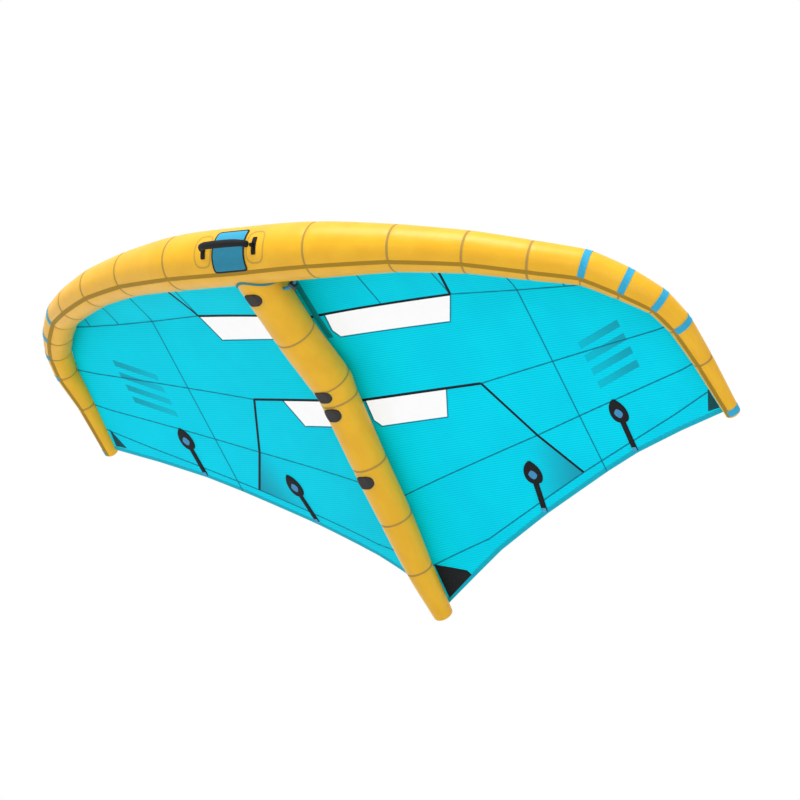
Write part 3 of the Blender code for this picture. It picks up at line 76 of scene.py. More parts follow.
# Leading edge tube and strut tube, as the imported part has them
half_span = 1.650
leading_edge_sweep = 1.097
leading_edge_rise = 0.328
leading_edge_diameter = 0.229
leading_edge_shares = (
    (0.000, 0.012, 0.035, 1.000),
    (0.217, 0.020, 0.060, 0.965),
    (0.424, 0.069, 0.201, 0.812),
    (0.595, 0.139, 0.353, 0.726),
    (0.732, 0.224, 0.513, 0.673),
    (0.838, 0.306, 0.695, 0.611),
    (0.910, 0.402, 0.787, 0.567),
    (0.963, 0.499, 0.868, 0.481),
    (0.986, 0.605, 0.914, 0.433),
    (0.991, 0.770, 0.976, 0.356),
    (1.000, 1.000, 1.000, 0.264),
)
strut_length = 1.800
strut_arch = 0.101
strut_diameter = 0.163
strut_shares = (
    (0.041, 0.050, 1.120),
    (0.224, 0.451, 1.060),
    (0.369, 0.951, 1.060),
    (0.419, 0.947, 0.970),
    (0.588, 0.773, 0.900),
    (0.737, 0.670, 0.831),
    (0.872, 0.528, 0.689),
    (1.000, 0.527, 0.500),
)
seat_angle_limit = radians(62)
round_share = 0.992
straight_share = 0.6
tip_dome_share = 0.45

# Canopy heights and seams, as shares of half span and strut length
canopy_centre_height = 0.163
canopy_rise = 0.166
canopy_rise_curve_share = 0.343
canopy_fillet = 0.242
strut_seat_room = 1.0 * MM
seat_room = 0.7 * MM
tip_strip_reach = 0.120
seam_softness = 0.06
seam_shares = {
    "front": (((0.000, 0.219), (0.410, 0.227), (0.587, 0.242), (0.733, 0.251), (0.830, 0.2525)), 0.2525),
    "middle": (((0.000, 0.4575), (0.3655, 0.459), (0.587, 0.429), (0.740, 0.408), (0.900, 0.386)), 0.375),
    "rear": (((0.000, 0.711), (0.448, 0.608), (0.587, 0.573), (0.760, 0.530), (0.920, 0.490)), 0.475),
    "band": (((0.000, 0.892), (0.180, 0.853), (0.523, 0.7167), (0.587, 0.693), (0.840, 0.600)), 0.545),
    "edge": (((0.000, 0.992), (0.197, 0.886), (0.368, 0.810), (0.587, 0.722), (0.693, 0.683),
              (0.840, 0.640)), 0.603),
}
long_seam_share = 0.587
corner_share = 0.3655
rear_corner_share = 0.448
band_corner_share = 0.523
front_window_shares = ((0.050, 0.219), (0.043, 0.267), (0.054, 0.288), (0.367, 0.295), (0.406, 0.227))
rear_window_shares = ((0.025, 0.4575), (0.024, 0.511), (0.040, 0.529), (0.230, 0.531), (0.265, 0.4575))
tail_patch_shares = ((0.013, 0.888), (0.086, 0.921), (0.092, 0.934), (0.013, 0.978))
tip_patch_shares = ((0.963, 0.545), (0.971, 0.594), (0.936, 0.600), (0.9495, 0.5725))

# Steps of curves, slopes and merges
curve_steps = 24
slope_reach = 12 * MM
canopy_slope_reach = 3 * MM
merge_reach = 0.05 * MM
crease_angle = radians(40)

# Cloth and skin, with the pinch and the puckers at each ring seam
cloth = 0.8 * MM
skin_wall = 1.0 * MM
pinch_depth = 2.2 * MM
pinch_width = 11 * MM
pucker_depth = 0.5 * MM
pucker_waves = 44
pucker_turn = 2.1
broad_pucker_waves = 27
broad_pucker_share = 0.6
bladder_room = 5 * MM
film_wall = 0.5 * MM


def smooth_rows(rows):
    """A smooth curve through the rows, the distance along it, and the distances of the rows."""
    ends = np.vstack([2 * rows[0] - rows[1], rows, 2 * rows[-1] - rows[-2]])
    t = np.linspace(0, 1, curve_steps, endpoint=False)[:, None]
    dense = []
    for before, start, stop, after in zip(ends, ends[1:], ends[2:], ends[3:]):
        square = 2 * before - 5 * start + 4 * stop - after
        cube = 3 * start - before - 3 * stop + after
        dense.append(0.5 * (2 * start + (stop - before) * t + square * t ** 2 + cube * t ** 3))
    dense = np.vstack(dense + [rows[-1:]])
    leaps = np.linalg.norm(np.diff(dense[:, :3], axis=0), axis=1)
    distance = np.concatenate([[0], np.cumsum(leaps)])
    return dense, distance, distance[::curve_steps]


def unit(vectors):
    return vectors / np.linalg.norm(vectors, axis=-1, keepdims=True)


class Tube:
    """An inflated tube: places on its skin, by distance along it and angle round it from its rear side."""

    def __init__(self, rows, both_sides=False, straight=0.0):
        rows = np.array(rows, dtype=float)
        if both_sides:
            rows = np.vstack([rows[:0:-1] * (-1, 1, 1, 1), rows])
        self.dense, distance, knots = smooth_rows(rows)
        shift = distance[-1] / 2 if both_sides else 0.0
        self.distance = distance - shift
        knots = knots - shift
        self.seams = np.delete(knots, len(knots) // 2) if both_sides else knots
        # Panels are cut straight, so the line kinks a little at each seam away from the middle
        chord = np.stack([np.interp(self.distance, knots, rows[:, k]) for k in range(3)], axis=1)
        first, second = (self.seams[len(self.seams) // 2 + k] for k in (0, 1))
        amount = straight * np.clip((np.abs(self.distance) - first) / (second - first), 0, 1)[:, None]
        self.dense[:, :3] += (chord - self.dense[:, :3]) * amount

    def row(self, s):
        """Place and radius at a distance, or those of the nearer end past the tube."""
        held = np.clip(s, self.distance[0], self.distance[-1])
        return np.stack([np.interp(held, self.distance, column) for column in self.dense.T], axis=-1)

    def frame(self, s):
        """Centre, radius, and the directions along, sideways and up."""
        s = np.atleast_1d(np.asarray(s, dtype=float))
        held = np.clip(s, self.distance[0] + slope_reach, self.distance[-1] - slope_reach)
        along = unit(self.row(held + slope_reach)[:, :3] - self.row(held - slope_reach)[:, :3])
        side = unit(np.cross((0, 0, 1), along))
        here = self.row(s)
        past = s - np.clip(s, self.distance[0], self.distance[-1])
        return here[:, :3] + along * past[:, None], here[:, 3], along, side, np.cross(along, side)

    def pinch(self, s, angle):
        """How far the skin is drawn in at the sewn seams, with small puckers beside them."""
        away = np.abs(s[:, None] - self.seams[None, 1:-1])
        nearest = away.argmin(axis=1)
        off = away.min(axis=1)
        wave = np.sin(angle * pucker_waves + nearest * pucker_turn)
        wave = wave + broad_pucker_share * np.sin(angle * broad_pucker_waves + nearest)
        near = np.exp(-(off / pinch_width) ** 2)
        beside = np.exp(-((off - pinch_width) / pinch_width) ** 2)
        return pinch_depth * near + pucker_depth * wave * beside

    def skin(self, s, angle, lift=0.0, share=1.0):
        """Places at an angle round the tube, at a share of its radius and raised by a lift."""
        s, angle = np.broadcast_arrays(np.atleast_1d(s).astype(float), np.atleast_1d(angle).astype(float))
        centre, radius, _, side, up = self.frame(s)
        reach = (radius * round_share - self.pinch(s, angle)) * share + lift
        out = side * np.cos(angle)[:, None] + up * np.sin(angle)[:, None]
        return centre + out * reach[:, None]


def tube_rows(shares, lengths):
    return [[share * length for share, length in zip(row, lengths)] for row in shares]


leading_edge_sizes = (half_span, leading_edge_sweep, leading_edge_rise, leading_edge_diameter / 2)
strut_sizes = (strut_length, strut_arch, strut_diameter / 2)
leading_edge = Tube(tube_rows(leading_edge_shares, leading_edge_sizes), True, straight_share)
strut = Tube([[0.0] + row for row in tube_rows(strut_shares, strut_sizes)])


def span_height(x):
    """Height of the canopy at a distance from the strut, but for its dip to the strut's top."""
    share = np.abs(x) / half_span
    curve = (1 + canopy_rise_curve_share) * share - canopy_rise_curve_share * share ** 2
    return canopy_centre_height + canopy_rise * curve


strut_top_points = strut.skin(strut.distance, pi / 2)


def canopy_height(x, y):
    """Height of the canopy away from the leading edge: it dips to the strut's top."""
    top = np.interp(y, strut_top_points[:, 1], strut_top_points[:, 2]) + strut_seat_room + cloth / 2
    return span_height(x) - (span_height(0.0) - top) * np.exp(-np.abs(x) / canopy_fillet)


def seat_angle(s):
    """The canopy is sewn where the tube passes the canopy's own height."""
    centre, radius, _, _, _ = leading_edge.frame(s)
    rise = span_height(np.abs(centre[:, 0]) - radius / 2) - centre[:, 2]
    return np.minimum(seat_angle_limit, np.arcsin(np.clip(rise / radius, -1, 1)))


def seat(s):
    """Where the canopy's front edge lies on the tube."""
    centre, radius, _, side, up = leading_edge.frame(s)
    angle = seat_angle(s)
    out = side * np.cos(angle)[:, None] + up * np.sin(angle)[:, None]
    return centre + out * (radius + seat_room)[:, None]


seat_stations = np.linspace(0, leading_edge.seams[-1], 400)
seat_points = seat(seat_stations)
# Seams that run up to the seat start no further back than the last of these points
inner_seat = seat_points[:250]


def seat_at_y(y):
    return float(np.interp(y, seat_points[:, 1], seat_stations))


def canopy_z(x, y):
    """Height anywhere on the canopy: ahead of the front seam it runs straight down or up to its seat."""
    x, y = np.abs(np.asarray(x, dtype=float)), np.asarray(y, dtype=float)
    away = np.hypot(x[:, None] - seat_points[None, :, 0], y[:, None] - seat_points[None, :, 1])
    nearest = seat_points[away.argmin(axis=1)]
    off = away.min(axis=1)
    seam_x, seam_y = np.array(seam_shares["front"][0]).T * ((half_span,), (strut_length,))
    reach = np.maximum(tip_strip_reach, np.interp(nearest[:, 0], seam_x, seam_y) - nearest[:, 1])
    step = nearest[:, 2] - canopy_height(nearest[:, 0], nearest[:, 1])
    ramp = 1 - off / reach
    return canopy_height(x, y) + step * (ramp + np.sqrt(ramp ** 2 + seam_softness ** 2)) / 2


def on_canopy(flat, lift):
    """Points on the canopy from plan places (N, 2), raised along its normal."""
    x, y = flat[:, 0], flat[:, 1]
    step = canopy_slope_reach
    slope_x = (canopy_z(x + step, y) - canopy_z(x - step, y)) / (2 * step)
    slope_y = (canopy_z(x, y + step) - canopy_z(x, y - step)) / (2 * step)
    slope_x = np.where(np.abs(x) < step, 0.0, slope_x)
    normal = unit(np.stack([-slope_x, -slope_y, np.ones_like(x)], axis=1))
    return np.stack([x, y, canopy_z(x, y)], axis=1) + normal * np.reshape(lift, (-1, 1))


class TubeFace:
    """Flat metres round one place on a tube: first along the tube, then round it."""

    def __init__(self, tube, s, angle):
        self.tube, self.s, self.angle = tube, s, angle
        self.radius = float(tube.frame(s)[1][0])

    def __call__(self, flat, lift):
        return self.tube.skin(self.s + flat[:, 0], self.angle + flat[:, 1] / self.radius, lift)


handle_out = np.array([0, cos(handle_angle), sin(handle_angle)])
hand_gap = Vector(leading_edge.frame(0.0)[0][0]) + Vector(handle_out) * hand_gap_reach
level_to_held = Matrix.Rotation(-wing_pitch, 4, "X") @ Matrix.Translation(-hand_gap)
held_to_level = level_to_held.inverted()


# Meshes

def add_grid(bm, columns, rows, shape, measure=None):
    """Adds a grid whose points go where shape(u, v) says, u and v from 0 to 1; its UV is in metres."""
    layer = bm.loops.layers.uv.get("cloth") or bm.loops.layers.uv.new("cloth")
    made = bmesh.ops.create_grid(bm, x_segments=columns, y_segments=rows, size=0.5,
                                 matrix=Matrix.Translation((0.5, 0.5, 0)))["verts"]
    shares = np.array([vertex.co[:2] for vertex in made])
    places = shape(shares[:, 0], shares[:, 1])
    sizes = measure(shares[:, 0], shares[:, 1]) if measure else places[:, :2]
    uv = dict(zip(made, sizes))
    for face in {face for vertex in made for face in vertex.link_faces}:
        for loop in face.loops:
            loop[layer].uv = uv[loop.vert]
    for vertex, place in zip(made, places):
        vertex.co = place


def finish(name, bm, finishes, body="wing", thickness=0.0, nodes=()):
    """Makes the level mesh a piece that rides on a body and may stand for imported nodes."""
    bmesh.ops.remove_doubles(bm, verts=bm.verts[:], dist=merge_reach)
    bmesh.ops.dissolve_degenerate(bm, edges=bm.edges[:], dist=merge_reach / 2)
    bmesh.ops.recalc_face_normals(bm, faces=bm.faces[:])
    bmesh.ops.transform(bm, matrix=level_to_held, verts=bm.verts[:])
    mesh = bpy.data.meshes.new(name)
    bm.to_mesh(mesh)
    bm.free()
    mesh.shade_smooth()
    for each in finishes:
        mesh.materials.append(each)
    piece = bpy.data.objects.new(name, mesh)
    bpy.context.scene.collection.objects.link(piece)
    if thickness:
        wall = piece.modifiers.new("wall", "SOLIDIFY")
        wall.thickness = thickness
        wall.offset = 0.0
        shown = bpy.context.evaluated_depsgraph_get()
        settled = bpy.data.meshes.new_from_object(piece.evaluated_get(shown))
        piece.modifiers.clear()
        piece.data = settled
        settled.name = name
    piece.data.set_sharp_from_angle(angle=crease_angle)
    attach(piece, body)
    if nodes:
        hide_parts(*nodes)
    return piece


def resampled(path, step):
    """The same polyline with points about a step apart."""
    path = np.array(path, dtype=float)
    made = [path[:1]]
    for first, last in zip(path, path[1:]):
        count = max(1, round(float(np.linalg.norm(last - first)) / step))
        made.append(first + (last - first) * (np.arange(1, count + 1) / count)[:, None])
    return np.vstack(made)


def add_ribbon(bm, place, path, width, lift=0.0, step=20 * MM, across=2, closed=False):
    """A flat tape along a path of flat places, on the surface that place gives."""
    points = resampled(path, step)
    if closed:
        before, after = np.roll(points[:-1], 1, axis=0), np.roll(points[:-1], -1, axis=0)
        along = unit(after - before)
        along = np.vstack([along, along[:1]])
    else:
        along = unit(np.gradient(points, axis=0))
    aside = np.stack([-along[:, 1], along[:, 0]], axis=1)
    leaps = np.linalg.norm(np.diff(points, axis=0), axis=1)
    run = np.concatenate([[0], np.cumsum(leaps)])
    last = len(points) - 1

    def shape(u, v):
        i = np.rint(u * last).astype(int)
        flat = points[i] + aside[i] * ((v - 0.5) * width)[:, None]
        return place(flat, lift(u, v) if callable(lift) else lift)

    def measure(u, v):
        return np.stack([run[np.rint(u * last).astype(int)], (v - 0.5) * width], axis=1)

    add_grid(bm, last, across, shape, measure)


def squircle(u, v, power):
    """Moves the points of a square onto a square with round corners; both run from -1 to 1."""
    x, y = 2 * u - 1, 2 * v - 1
    edge = np.maximum(np.maximum(np.abs(x), np.abs(y)), 1e-9)
    pull = ((np.abs(x) / edge) ** power + (np.abs(y) / edge) ** power) ** (1 / power)
    pull = np.maximum(pull, 1.0)
    return x / pull, y / pull, edge


def add_patch(bm, place, half_length, half_width, power, lift, cells, waist=None):
    """A patch with round corners on a surface."""
    def shape(u, v):
        x, y, edge = squircle(u, v, power)
        wide = half_length * (waist(y) if waist else 1.0)
        flat = np.stack([x * wide, y * half_width], axis=1)
        return place(flat, lift(edge) if callable(lift) else lift)

    def measure(u, v):
        x, y, _ = squircle(u, v, power)
        return np.stack([x * half_length, y * half_width], axis=1)

    add_grid(bm, cells, cells, shape, measure)


def ribbon_piece(name, material, place, path, width, thickness, **form):
    """A piece that is one ribbon."""
    bm = bmesh.new()
    add_ribbon(bm, place, path, width, **form)
    finish(name, bm, [material], thickness=thickness)


def patch_piece(name, material, place, half_size, thickness, nodes=(), slot=None, **form):
    """A piece that is one patch."""
    bm = bmesh.new()
    add_patch(bm, place, *half_size, **form)
    finish(name, bm, [material], thickness=thickness, nodes=nodes)


def rounded(low, swell):
    """A lift that makes a tape round across its width."""
    return lambda u, v: low + swell * np.sin(pi * v)


def cushioned(low, swell, power):
    """A lift that makes a patch flat in the middle and lower at its edge."""
    return lambda edge: low + swell * (1 - edge ** power)


def outline_path(half_length, half_width, power, count, waist=None):
    """The closed outline of a patch with round corners."""
    points = []
    for k in range(count + 1):
        a = tau * k / count
        c, s = cos(a), sin(a)
        x = abs(c) ** (2 / power) * (1 if c >= 0 else -1)
        y = abs(s) ** (2 / power) * (1 if s >= 0 else -1)
        wide = half_length * (float(waist(y)) if waist else 1.0)
        points.append((x * wide, y * half_width))
    return points


# Materials

class Value:
    """A shader socket on which Python's own operators work."""

    def __init__(self, nodes, socket):
        self.nodes, self.socket = nodes, socket

    def __add__(self, other):
        return self.nodes.maths("ADD", self, other)

    def __radd__(self, other):
        return self.nodes.maths("ADD", other, self)

    def __sub__(self, other):
        return self.nodes.maths("SUBTRACT", self, other)

    def __rsub__(self, other):
        return self.nodes.maths("SUBTRACT", other, self)

    def __mul__(self, other):
        return self.nodes.maths("MULTIPLY", self, other)

    def __rmul__(self, other):
        return self.nodes.maths("MULTIPLY", other, self)

    def __truediv__(self, other):
        return self.nodes.maths("DIVIDE", self, other)

    def __lt__(self, other):
        return self.nodes.maths("LESS_THAN", self, other)

    def __gt__(self, other):
        return self.nodes.maths("GREATER_THAN", self, other)

    def output(self, key):
        """Another output of the same node."""
        return Value(self.nodes, self.socket.node.outputs[key])


class Nodes:
    """The node tree of a material or of the world."""

    def __init__(self, owner):
        owner.use_nodes = True
        self.tree = owner.node_tree

    def node(self, kind, inputs=None, output=0, **settings):
        """A node with its settings first and its sockets' values or links after, as one of its outputs."""
        made = self.tree.nodes.new(kind)
        for key, value in settings.items():
            setattr(made, key, value)
        for socket, value in (inputs or {}).items():
            self.feed(made.inputs[socket], value)
        return Value(self, made.outputs[output])

    def feed(self, socket, value):
        if isinstance(value, Value):
            self.tree.links.new(value.socket, socket)
        else:
            socket.default_value = value

    def maths(self, operation, *values):
        return self.node("ShaderNodeMath", dict(enumerate(values)), operation=operation)

    def mix(self, amount, first, second):
        """Mixes two colours."""
        first, second = ((*colour, 1) if isinstance(colour, tuple) else colour for colour in (first, second))
        return self.node("ShaderNodeMix", {0: amount, 6: first, 7: second}, output=2, data_type="RGBA")

    def smooth(self, value, low, high):
        """Rises from 0 at low to 1 at high."""
        return self.node("ShaderNodeMapRange", {"Value": value, "From Min": low, "From Max": high},
                         interpolation_type="SMOOTHSTEP")

    def backdrop(self):
        """1 where the backdrop is seen straight, in gloss or through film, and 0 where it only lights."""
        rays = self.node("ShaderNodeLightPath")
        bounced = self.maths("MAXIMUM", rays.output("Is Glossy Ray"), rays.output("Is Transmission Ray"))
        return self.maths("MAXIMUM", rays.output("Is Camera Ray"), bounced)


class Shade(Nodes):
    """A material: its Principled shader's constants, and every node of its patterns."""

    def __init__(self, name, colour, roughness, **constants):
        self.material = bpy.data.materials.new(name)
        super().__init__(self.material)
        self.shader = self.tree.nodes["Principled BSDF"]
        self.shader.inputs["Base Color"].default_value = (*colour, 1)
        self.shader.inputs["Roughness"].default_value = roughness
        for socket, value in constants.items():
            self.shader.inputs[socket.replace("_", " ").title().replace("Ior", "IOR")].default_value = value

    def object_place(self):
        return self.node("ShaderNodeTexCoord", output=3)

    def cloth(self):
        """Metres along and across the cloth."""
        found = self.node("ShaderNodeUVMap", uv_map="cloth")
        parts = self.node("ShaderNodeSeparateXYZ", {0: found})
        return parts, parts.output(1), found

    def noise(self, vector, scale, detail, roughness=0.5):
        return self.node("ShaderNodeTexNoise", {"Vector": vector, "Scale": scale, "Detail": detail,
                                                "Roughness": roughness})

    def lines(self, across, spacing, share):
        """1 on thin lines at every spacing, 0 between them."""
        return self.maths("FRACT", across / spacing) < share

    def wave(self, across, spacing):
        """A rounded thread profile at every spacing, from 0 to 1."""
        return self.maths("SINE", across * (tau / spacing)) * 0.5 + 0.5

    def colour(self, value):
        self.feed(self.shader.inputs["Base Color"], value)

    def rough(self, value):
        self.feed(self.shader.inputs["Roughness"], value)

    def bump(self, height, distance, strength):
        made = self.node("ShaderNodeBump", {"Height": height, "Strength": strength, "Distance": distance})
        self.feed(self.shader.inputs["Normal"], made)


# Metres that move a pattern along, so that no place on a piece is below zero
pattern_shift = 3.0
ripstop_shift = 5.0

# Threads and stitches
casing_thread = 1.3 * MM
casing_grid = 6 * MM
casing_grid_share = 0.07
tape_thread = 1.1 * MM
stitch_half_width = 0.45 * MM
knit_thread = 0.9 * MM

# Painted light on the chafe pad: its blue grows lighter between these two heights of its map, a painted top
# light above the grip and painted shadow of the grip below
pad_painted_light_from = -22 * MM
pad_painted_light_to = -28 * MM


def casing_cloth():
    """Tightly woven sailcloth, smooth and a little shiny, with a faint crinkle."""
    shade = Shade("casing_yellow", (0.83, 0.45, 0.018), roughness=0.38, specular_ior_level=0.3)
    u, v, uv = shade.cloth()
    crinkle = shade.noise(uv, scale=9.0, detail=4.0, roughness=0.55)
    fine = shade.noise(uv, scale=60.0, detail=3.0)
    weave = shade.wave(u, casing_thread) * shade.wave(v, casing_thread)
    grid = (shade.lines(u + pattern_shift, casing_grid, casing_grid_share)
            + shade.lines(v + pattern_shift, casing_grid, casing_grid_share))
    tone = shade.mix(shade.smooth(crinkle, 0.3, 0.7), (0.81, 0.425, 0.014), (0.86, 0.47, 0.018))
    shade.colour(shade.mix(grid * 0.08, tone, (0.62, 0.32, 0.02)))
    shade.rough(0.33 + 0.14 * fine)
    shade.bump(crinkle * 1.5 + weave * 0.10 + fine * 0.12, distance=1.2 * MM, strength=0.6)
    return shade.material


# Threads and prints of the canopy, in metres of its plan
ripstop_spacing = 10.5 * MM
rear_seam_slope = 0.2509
rear_seam_start = 1.2798
black_tape_slope = 0.634
black_tape_start = 0.0452
band_seam_slope = 0.4335
band_seam_start = 1.6641
fade_start = 3.706
stripe_spacing = 62 * MM
stripe_lean = 0.35
stripes_inner = 1.12
stripes_outer = 1.34
stripes_front = 1.095
stripes_back = 1.331


def canopy_cloth():
    """Ripstop: a fine grid of thicker threads in thin cloth, with a teal fade and stripes printed on it."""
    shade = Shade("canopy_cyan", (0.0, 0.74, 0.96), roughness=0.55, specular_ior_level=0.04)
    u, v, uv = shade.cloth()
    out = shade.maths("ABSOLUTE", u)
    crinkle = shade.noise(uv, scale=5.0, detail=3.0)
    ribs = shade.lines(v + ripstop_shift, ripstop_spacing, 0.24)
    cross = shade.lines(u + ripstop_shift, ripstop_spacing, 0.08)
    tone = shade.mix(shade.smooth(crinkle, 0.3, 0.7), (0.0, 0.73, 0.95), (0.0, 0.78, 0.99))
    # Printed fade in the aft panel's outer corner, between the slopes of three seams
    behind_rear_seam = out * rear_seam_slope + v > rear_seam_start
    inside_black_tape = out - v * black_tape_slope < black_tape_start
    ahead_of_band_seam = v + out * band_seam_slope < band_seam_start
    towards_corner = shade.smooth(out * 3.6 + v * 1.24, fade_start, fade_start + 1)
    fade = behind_rear_seam * inside_black_tape * ahead_of_band_seam * towards_corner
    tone = shade.mix(fade * 0.9, tone, (0.014, 0.33, 0.45))
    # Plain slanted stripes on the outer middle panel, stronger further out
    lean = v + out * stripe_lean
    field = (out > stripes_inner) * (out < stripes_outer) * (lean > stripes_front) * (lean < stripes_back)
    stripes = field * shade.lines(lean - stripes_front, stripe_spacing, 0.52)
    strength = 0.45 + 0.40 * shade.smooth(out, stripes_inner, stripes_outer)
    tone = shade.mix(stripes * strength, tone, (0.010, 0.34, 0.45))
    shade.colour(shade.mix(ribs * 0.46 + cross * 0.10, tone, (0.0, 0.44, 0.66)))
    shade.rough(0.5 + 0.1 * crinkle)
    shade.bump(crinkle + ribs * 0.08 + cross * 0.05, distance=1.0 * MM, strength=0.4)
    return shade.material


def clear_film():
    """Clear window film, glossy, with a faint haze."""
    shade = Shade("window_film", (0.93, 0.96, 0.98), roughness=0.08, coat_weight=0.5)
    _, _, uv = shade.cloth()
    haze = shade.noise(uv, scale=7.0, detail=3.0)
    shade.rough(0.05 + 0.12 * haze)
    shade.feed(shade.shader.inputs["Alpha"], 0.08 + 0.08 * haze)
    shade.bump(haze, distance=1.5 * MM, strength=0.4)
    return shade.material


def taped(name, colour, thread, spacing=4 * MM, rows=0.5):
    """Woven tape with a row of zigzag stitches along its middle."""
    shade = Shade(name, colour, roughness=0.6, specular_ior_level=0.1)
    u, v, _ = shade.cloth()
    zigzag = shade.maths("PINGPONG", u + pattern_shift, spacing / 2) / (spacing / 2) - 0.5
    stitch = shade.maths("ABSOLUTE", v - zigzag * (spacing * rows)) < stitch_half_width
    weave = shade.wave(u + v, tape_thread) * shade.wave(u - v, tape_thread)
    shade.colour(shade.mix(stitch * 0.8, shade.mix(weave * 0.25, colour, (0.0, 0.0, 0.0)), thread))
    shade.bump(weave * 0.4 + stitch, distance=0.4 * MM, strength=0.7)
    return shade.material


def webbing(name, colour, roughness, spacing):
    """Coarse woven cloth or webbing."""
    shade = Shade(name, colour, roughness, specular_ior_level=0.12)
    u, v, uv = shade.cloth()
    weave = shade.wave(u, spacing) * 0.5 + shade.wave(v, spacing) * 0.5
    wear = shade.noise(uv, scale=45.0, detail=3.0)
    light = tuple(min(1.0, c * 1.4 + 0.006) for c in colour)
    shade.colour(shade.mix(weave * 0.5 + wear * 0.4, colour, light))
    shade.bump(weave + wear * 0.4, distance=0.5 * MM, strength=0.8)
    return shade.material


def neoprene_cloth():
    """Stretch cloth on the chafe pad, with painted light: lighter on its upper part where the top light
    falls, and painted shade below the grip, where the grip's shadow falls.
    """
    shade = Shade("neoprene_blue", (0.035, 0.28, 0.47), roughness=0.7, specular_ior_level=0.2)
    u, v, uv = shade.cloth()
    knit = shade.wave(u, knit_thread) * 0.5 + shade.wave(v, knit_thread) * 0.5
    wear = shade.noise(uv, scale=45.0, detail=3.0)
    # Painted light and shade: lighter above the grip as if lit from above, darker below as in the grip's
    # shadow
    light = shade.smooth(v, pad_painted_light_from, pad_painted_light_to)
    tone = shade.mix(light, (0.018, 0.21, 0.33), (0.042, 0.39, 0.62))
    shade.colour(shade.mix(knit * 0.25 + wear * 0.25, tone, (0.05, 0.36, 0.56)))
    shade.bump(knit + wear * 0.4, distance=0.4 * MM, strength=0.7)
    return shade.material


def foam(name, colour):
    """Rubbery foam with a fine grain."""
    shade = Shade(name, colour, roughness=0.75, specular_ior_level=0.15)
    place = shade.object_place()
    grain = shade.noise(place, scale=900.0, detail=2.0)
    broad = shade.noise(place, scale=40.0, detail=2.0)
    light = tuple(min(1.0, c * 1.35 + 0.005) for c in colour)
    shade.colour(shade.mix(broad, colour, light))
    shade.bump(grain, distance=0.35 * MM, strength=0.8)
    return shade.material


def plastic(name, colour, roughness, specular=0.5):
    """Moulded plastic with a spark-eroded grain and slightly uneven tone and gloss."""
    shade = Shade(name, colour, roughness, specular_ior_level=specular)
    place = shade.object_place()
    grain = shade.noise(place, scale=1400.0, detail=2.0)
    broad = shade.noise(place, scale=30.0, detail=3.0)
    light = tuple(min(1.0, c * 1.25 + 0.01) for c in colour)
    shade.colour(shade.mix(broad, colour, light))
    shade.rough(roughness - 0.06 + 0.14 * broad)
    shade.bump(grain, distance=0.12 * MM, strength=0.7)
    return shade.material


yellow = casing_cloth()
cyan = canopy_cloth()
film = clear_film()
teal_seam = taped("seam_teal", (0.002, 0.20, 0.31), (0.0, 0.30, 0.42))
black_tape = taped("tape_black", (0.004, 0.012, 0.020), (0.02, 0.03, 0.04))
hem_teal = taped("hem_teal", (0.006, 0.50, 0.66), (0.0, 0.36, 0.50))
side_teal = taped("side_teal", (0.004, 0.30, 0.34), (0.0, 0.22, 0.26))
piping_teal = taped("piping_teal", (0.05, 0.27, 0.34), (0.03, 0.20, 0.26))
patch_seam = taped("seam_patch", (0.60, 0.37, 0.06), (0.68, 0.48, 0.14))
ring_grey = taped("seam_ring", (0.50, 0.31, 0.07), (0.42, 0.30, 0.12))
pale_stitch = taped("stitch_pale", (0.86, 0.62, 0.12), (0.60, 0.42, 0.10), 3 * MM, 0.3)
tape_ochre = taped("tape_ochre", (0.42, 0.245, 0.022), (0.34, 0.22, 0.05))
seat_yellow = taped("tape_seat", (0.78, 0.45, 0.02), (0.45, 0.30, 0.05))
band_blue = webbing("band_blue", (0.030, 0.36, 0.58), 0.55, 1.2 * MM)
pocket_black = webbing("pocket_black", (0.006, 0.006, 0.008), 0.7, 1.8 * MM)
patch_black = webbing("patch_black", (0.008, 0.010, 0.012), 0.65, 1.4 * MM)
tip_black = webbing("tip_black", (0.003, 0.06, 0.075), 0.65, 1.4 * MM)
pad_blue = webbing("pocket_blue", (0.05, 0.27, 0.52), 0.6, 1.2 * MM)
tab_blue = webbing("tab_blue", (0.06, 0.33, 0.60), 0.6, 1.4 * MM)
strap_black = webbing("anchor_black", (0.007, 0.007, 0.009), 0.7, 2.0 * MM)
neoprene = neoprene_cloth()
trim_black = webbing("trim_black", (0.010, 0.010, 0.012), 0.6, 1.2 * MM)
grip_foam = foam("grip_black", (0.009, 0.010, 0.012))
pad_plastic = plastic("pad_charcoal", (0.030, 0.027, 0.026), 0.6, 0.15)
valve_plastic = plastic("valve_grey", (0.045, 0.045, 0.05), 0.42)
clamp_plastic = plastic("clamp_black", (0.02, 0.02, 0.022), 0.4)
hose_cloth = webbing("hose_blue", (0.03, 0.24, 0.45), 0.55, 1.6 * MM)
bladder_film = plastic("bladder_film", (0.72, 0.76, 0.78), 0.3)
rod_glass = plastic("batten_glass", (0.55, 0.57, 0.5), 0.35)


# Leading edge and strut

ring_step = 36 * MM
bladder_ring_step = 80 * MM
rings_beside_seam = (4 * MM, 9 * MM, 15 * MM, 24 * MM)
least_ring_step = 2.5 * MM
dome_rings = 8
leading_edge_facets = 88
strut_facets = 72
bladder_facets = 40
junction_tries = np.linspace(-60 * MM, 160 * MM, 221)
junction_room = 0.4 * MM
piping_width = 12 * MM
piping_offset = 5 * MM


def stations_between(tube, first, last, step):
    """Rings close together beside each seam and even between seams."""
    made = {first, last}
    stops = [first] + [s for s in tube.seams if first < s < last] + [last]
    for start, stop in zip(stops, stops[1:]):
        count = max(2, round((stop - start) / step))
        made.update(start + (stop - start) * k / count for k in range(count + 1))
        for near in rings_beside_seam:
            made.update((start + near, stop - near))
    made = sorted(s for s in made if first <= s <= last)
    kept = made[:1]
    for s in made[1:]:
        if s - kept[-1] > least_ring_step:
            kept.append(s)
    return kept


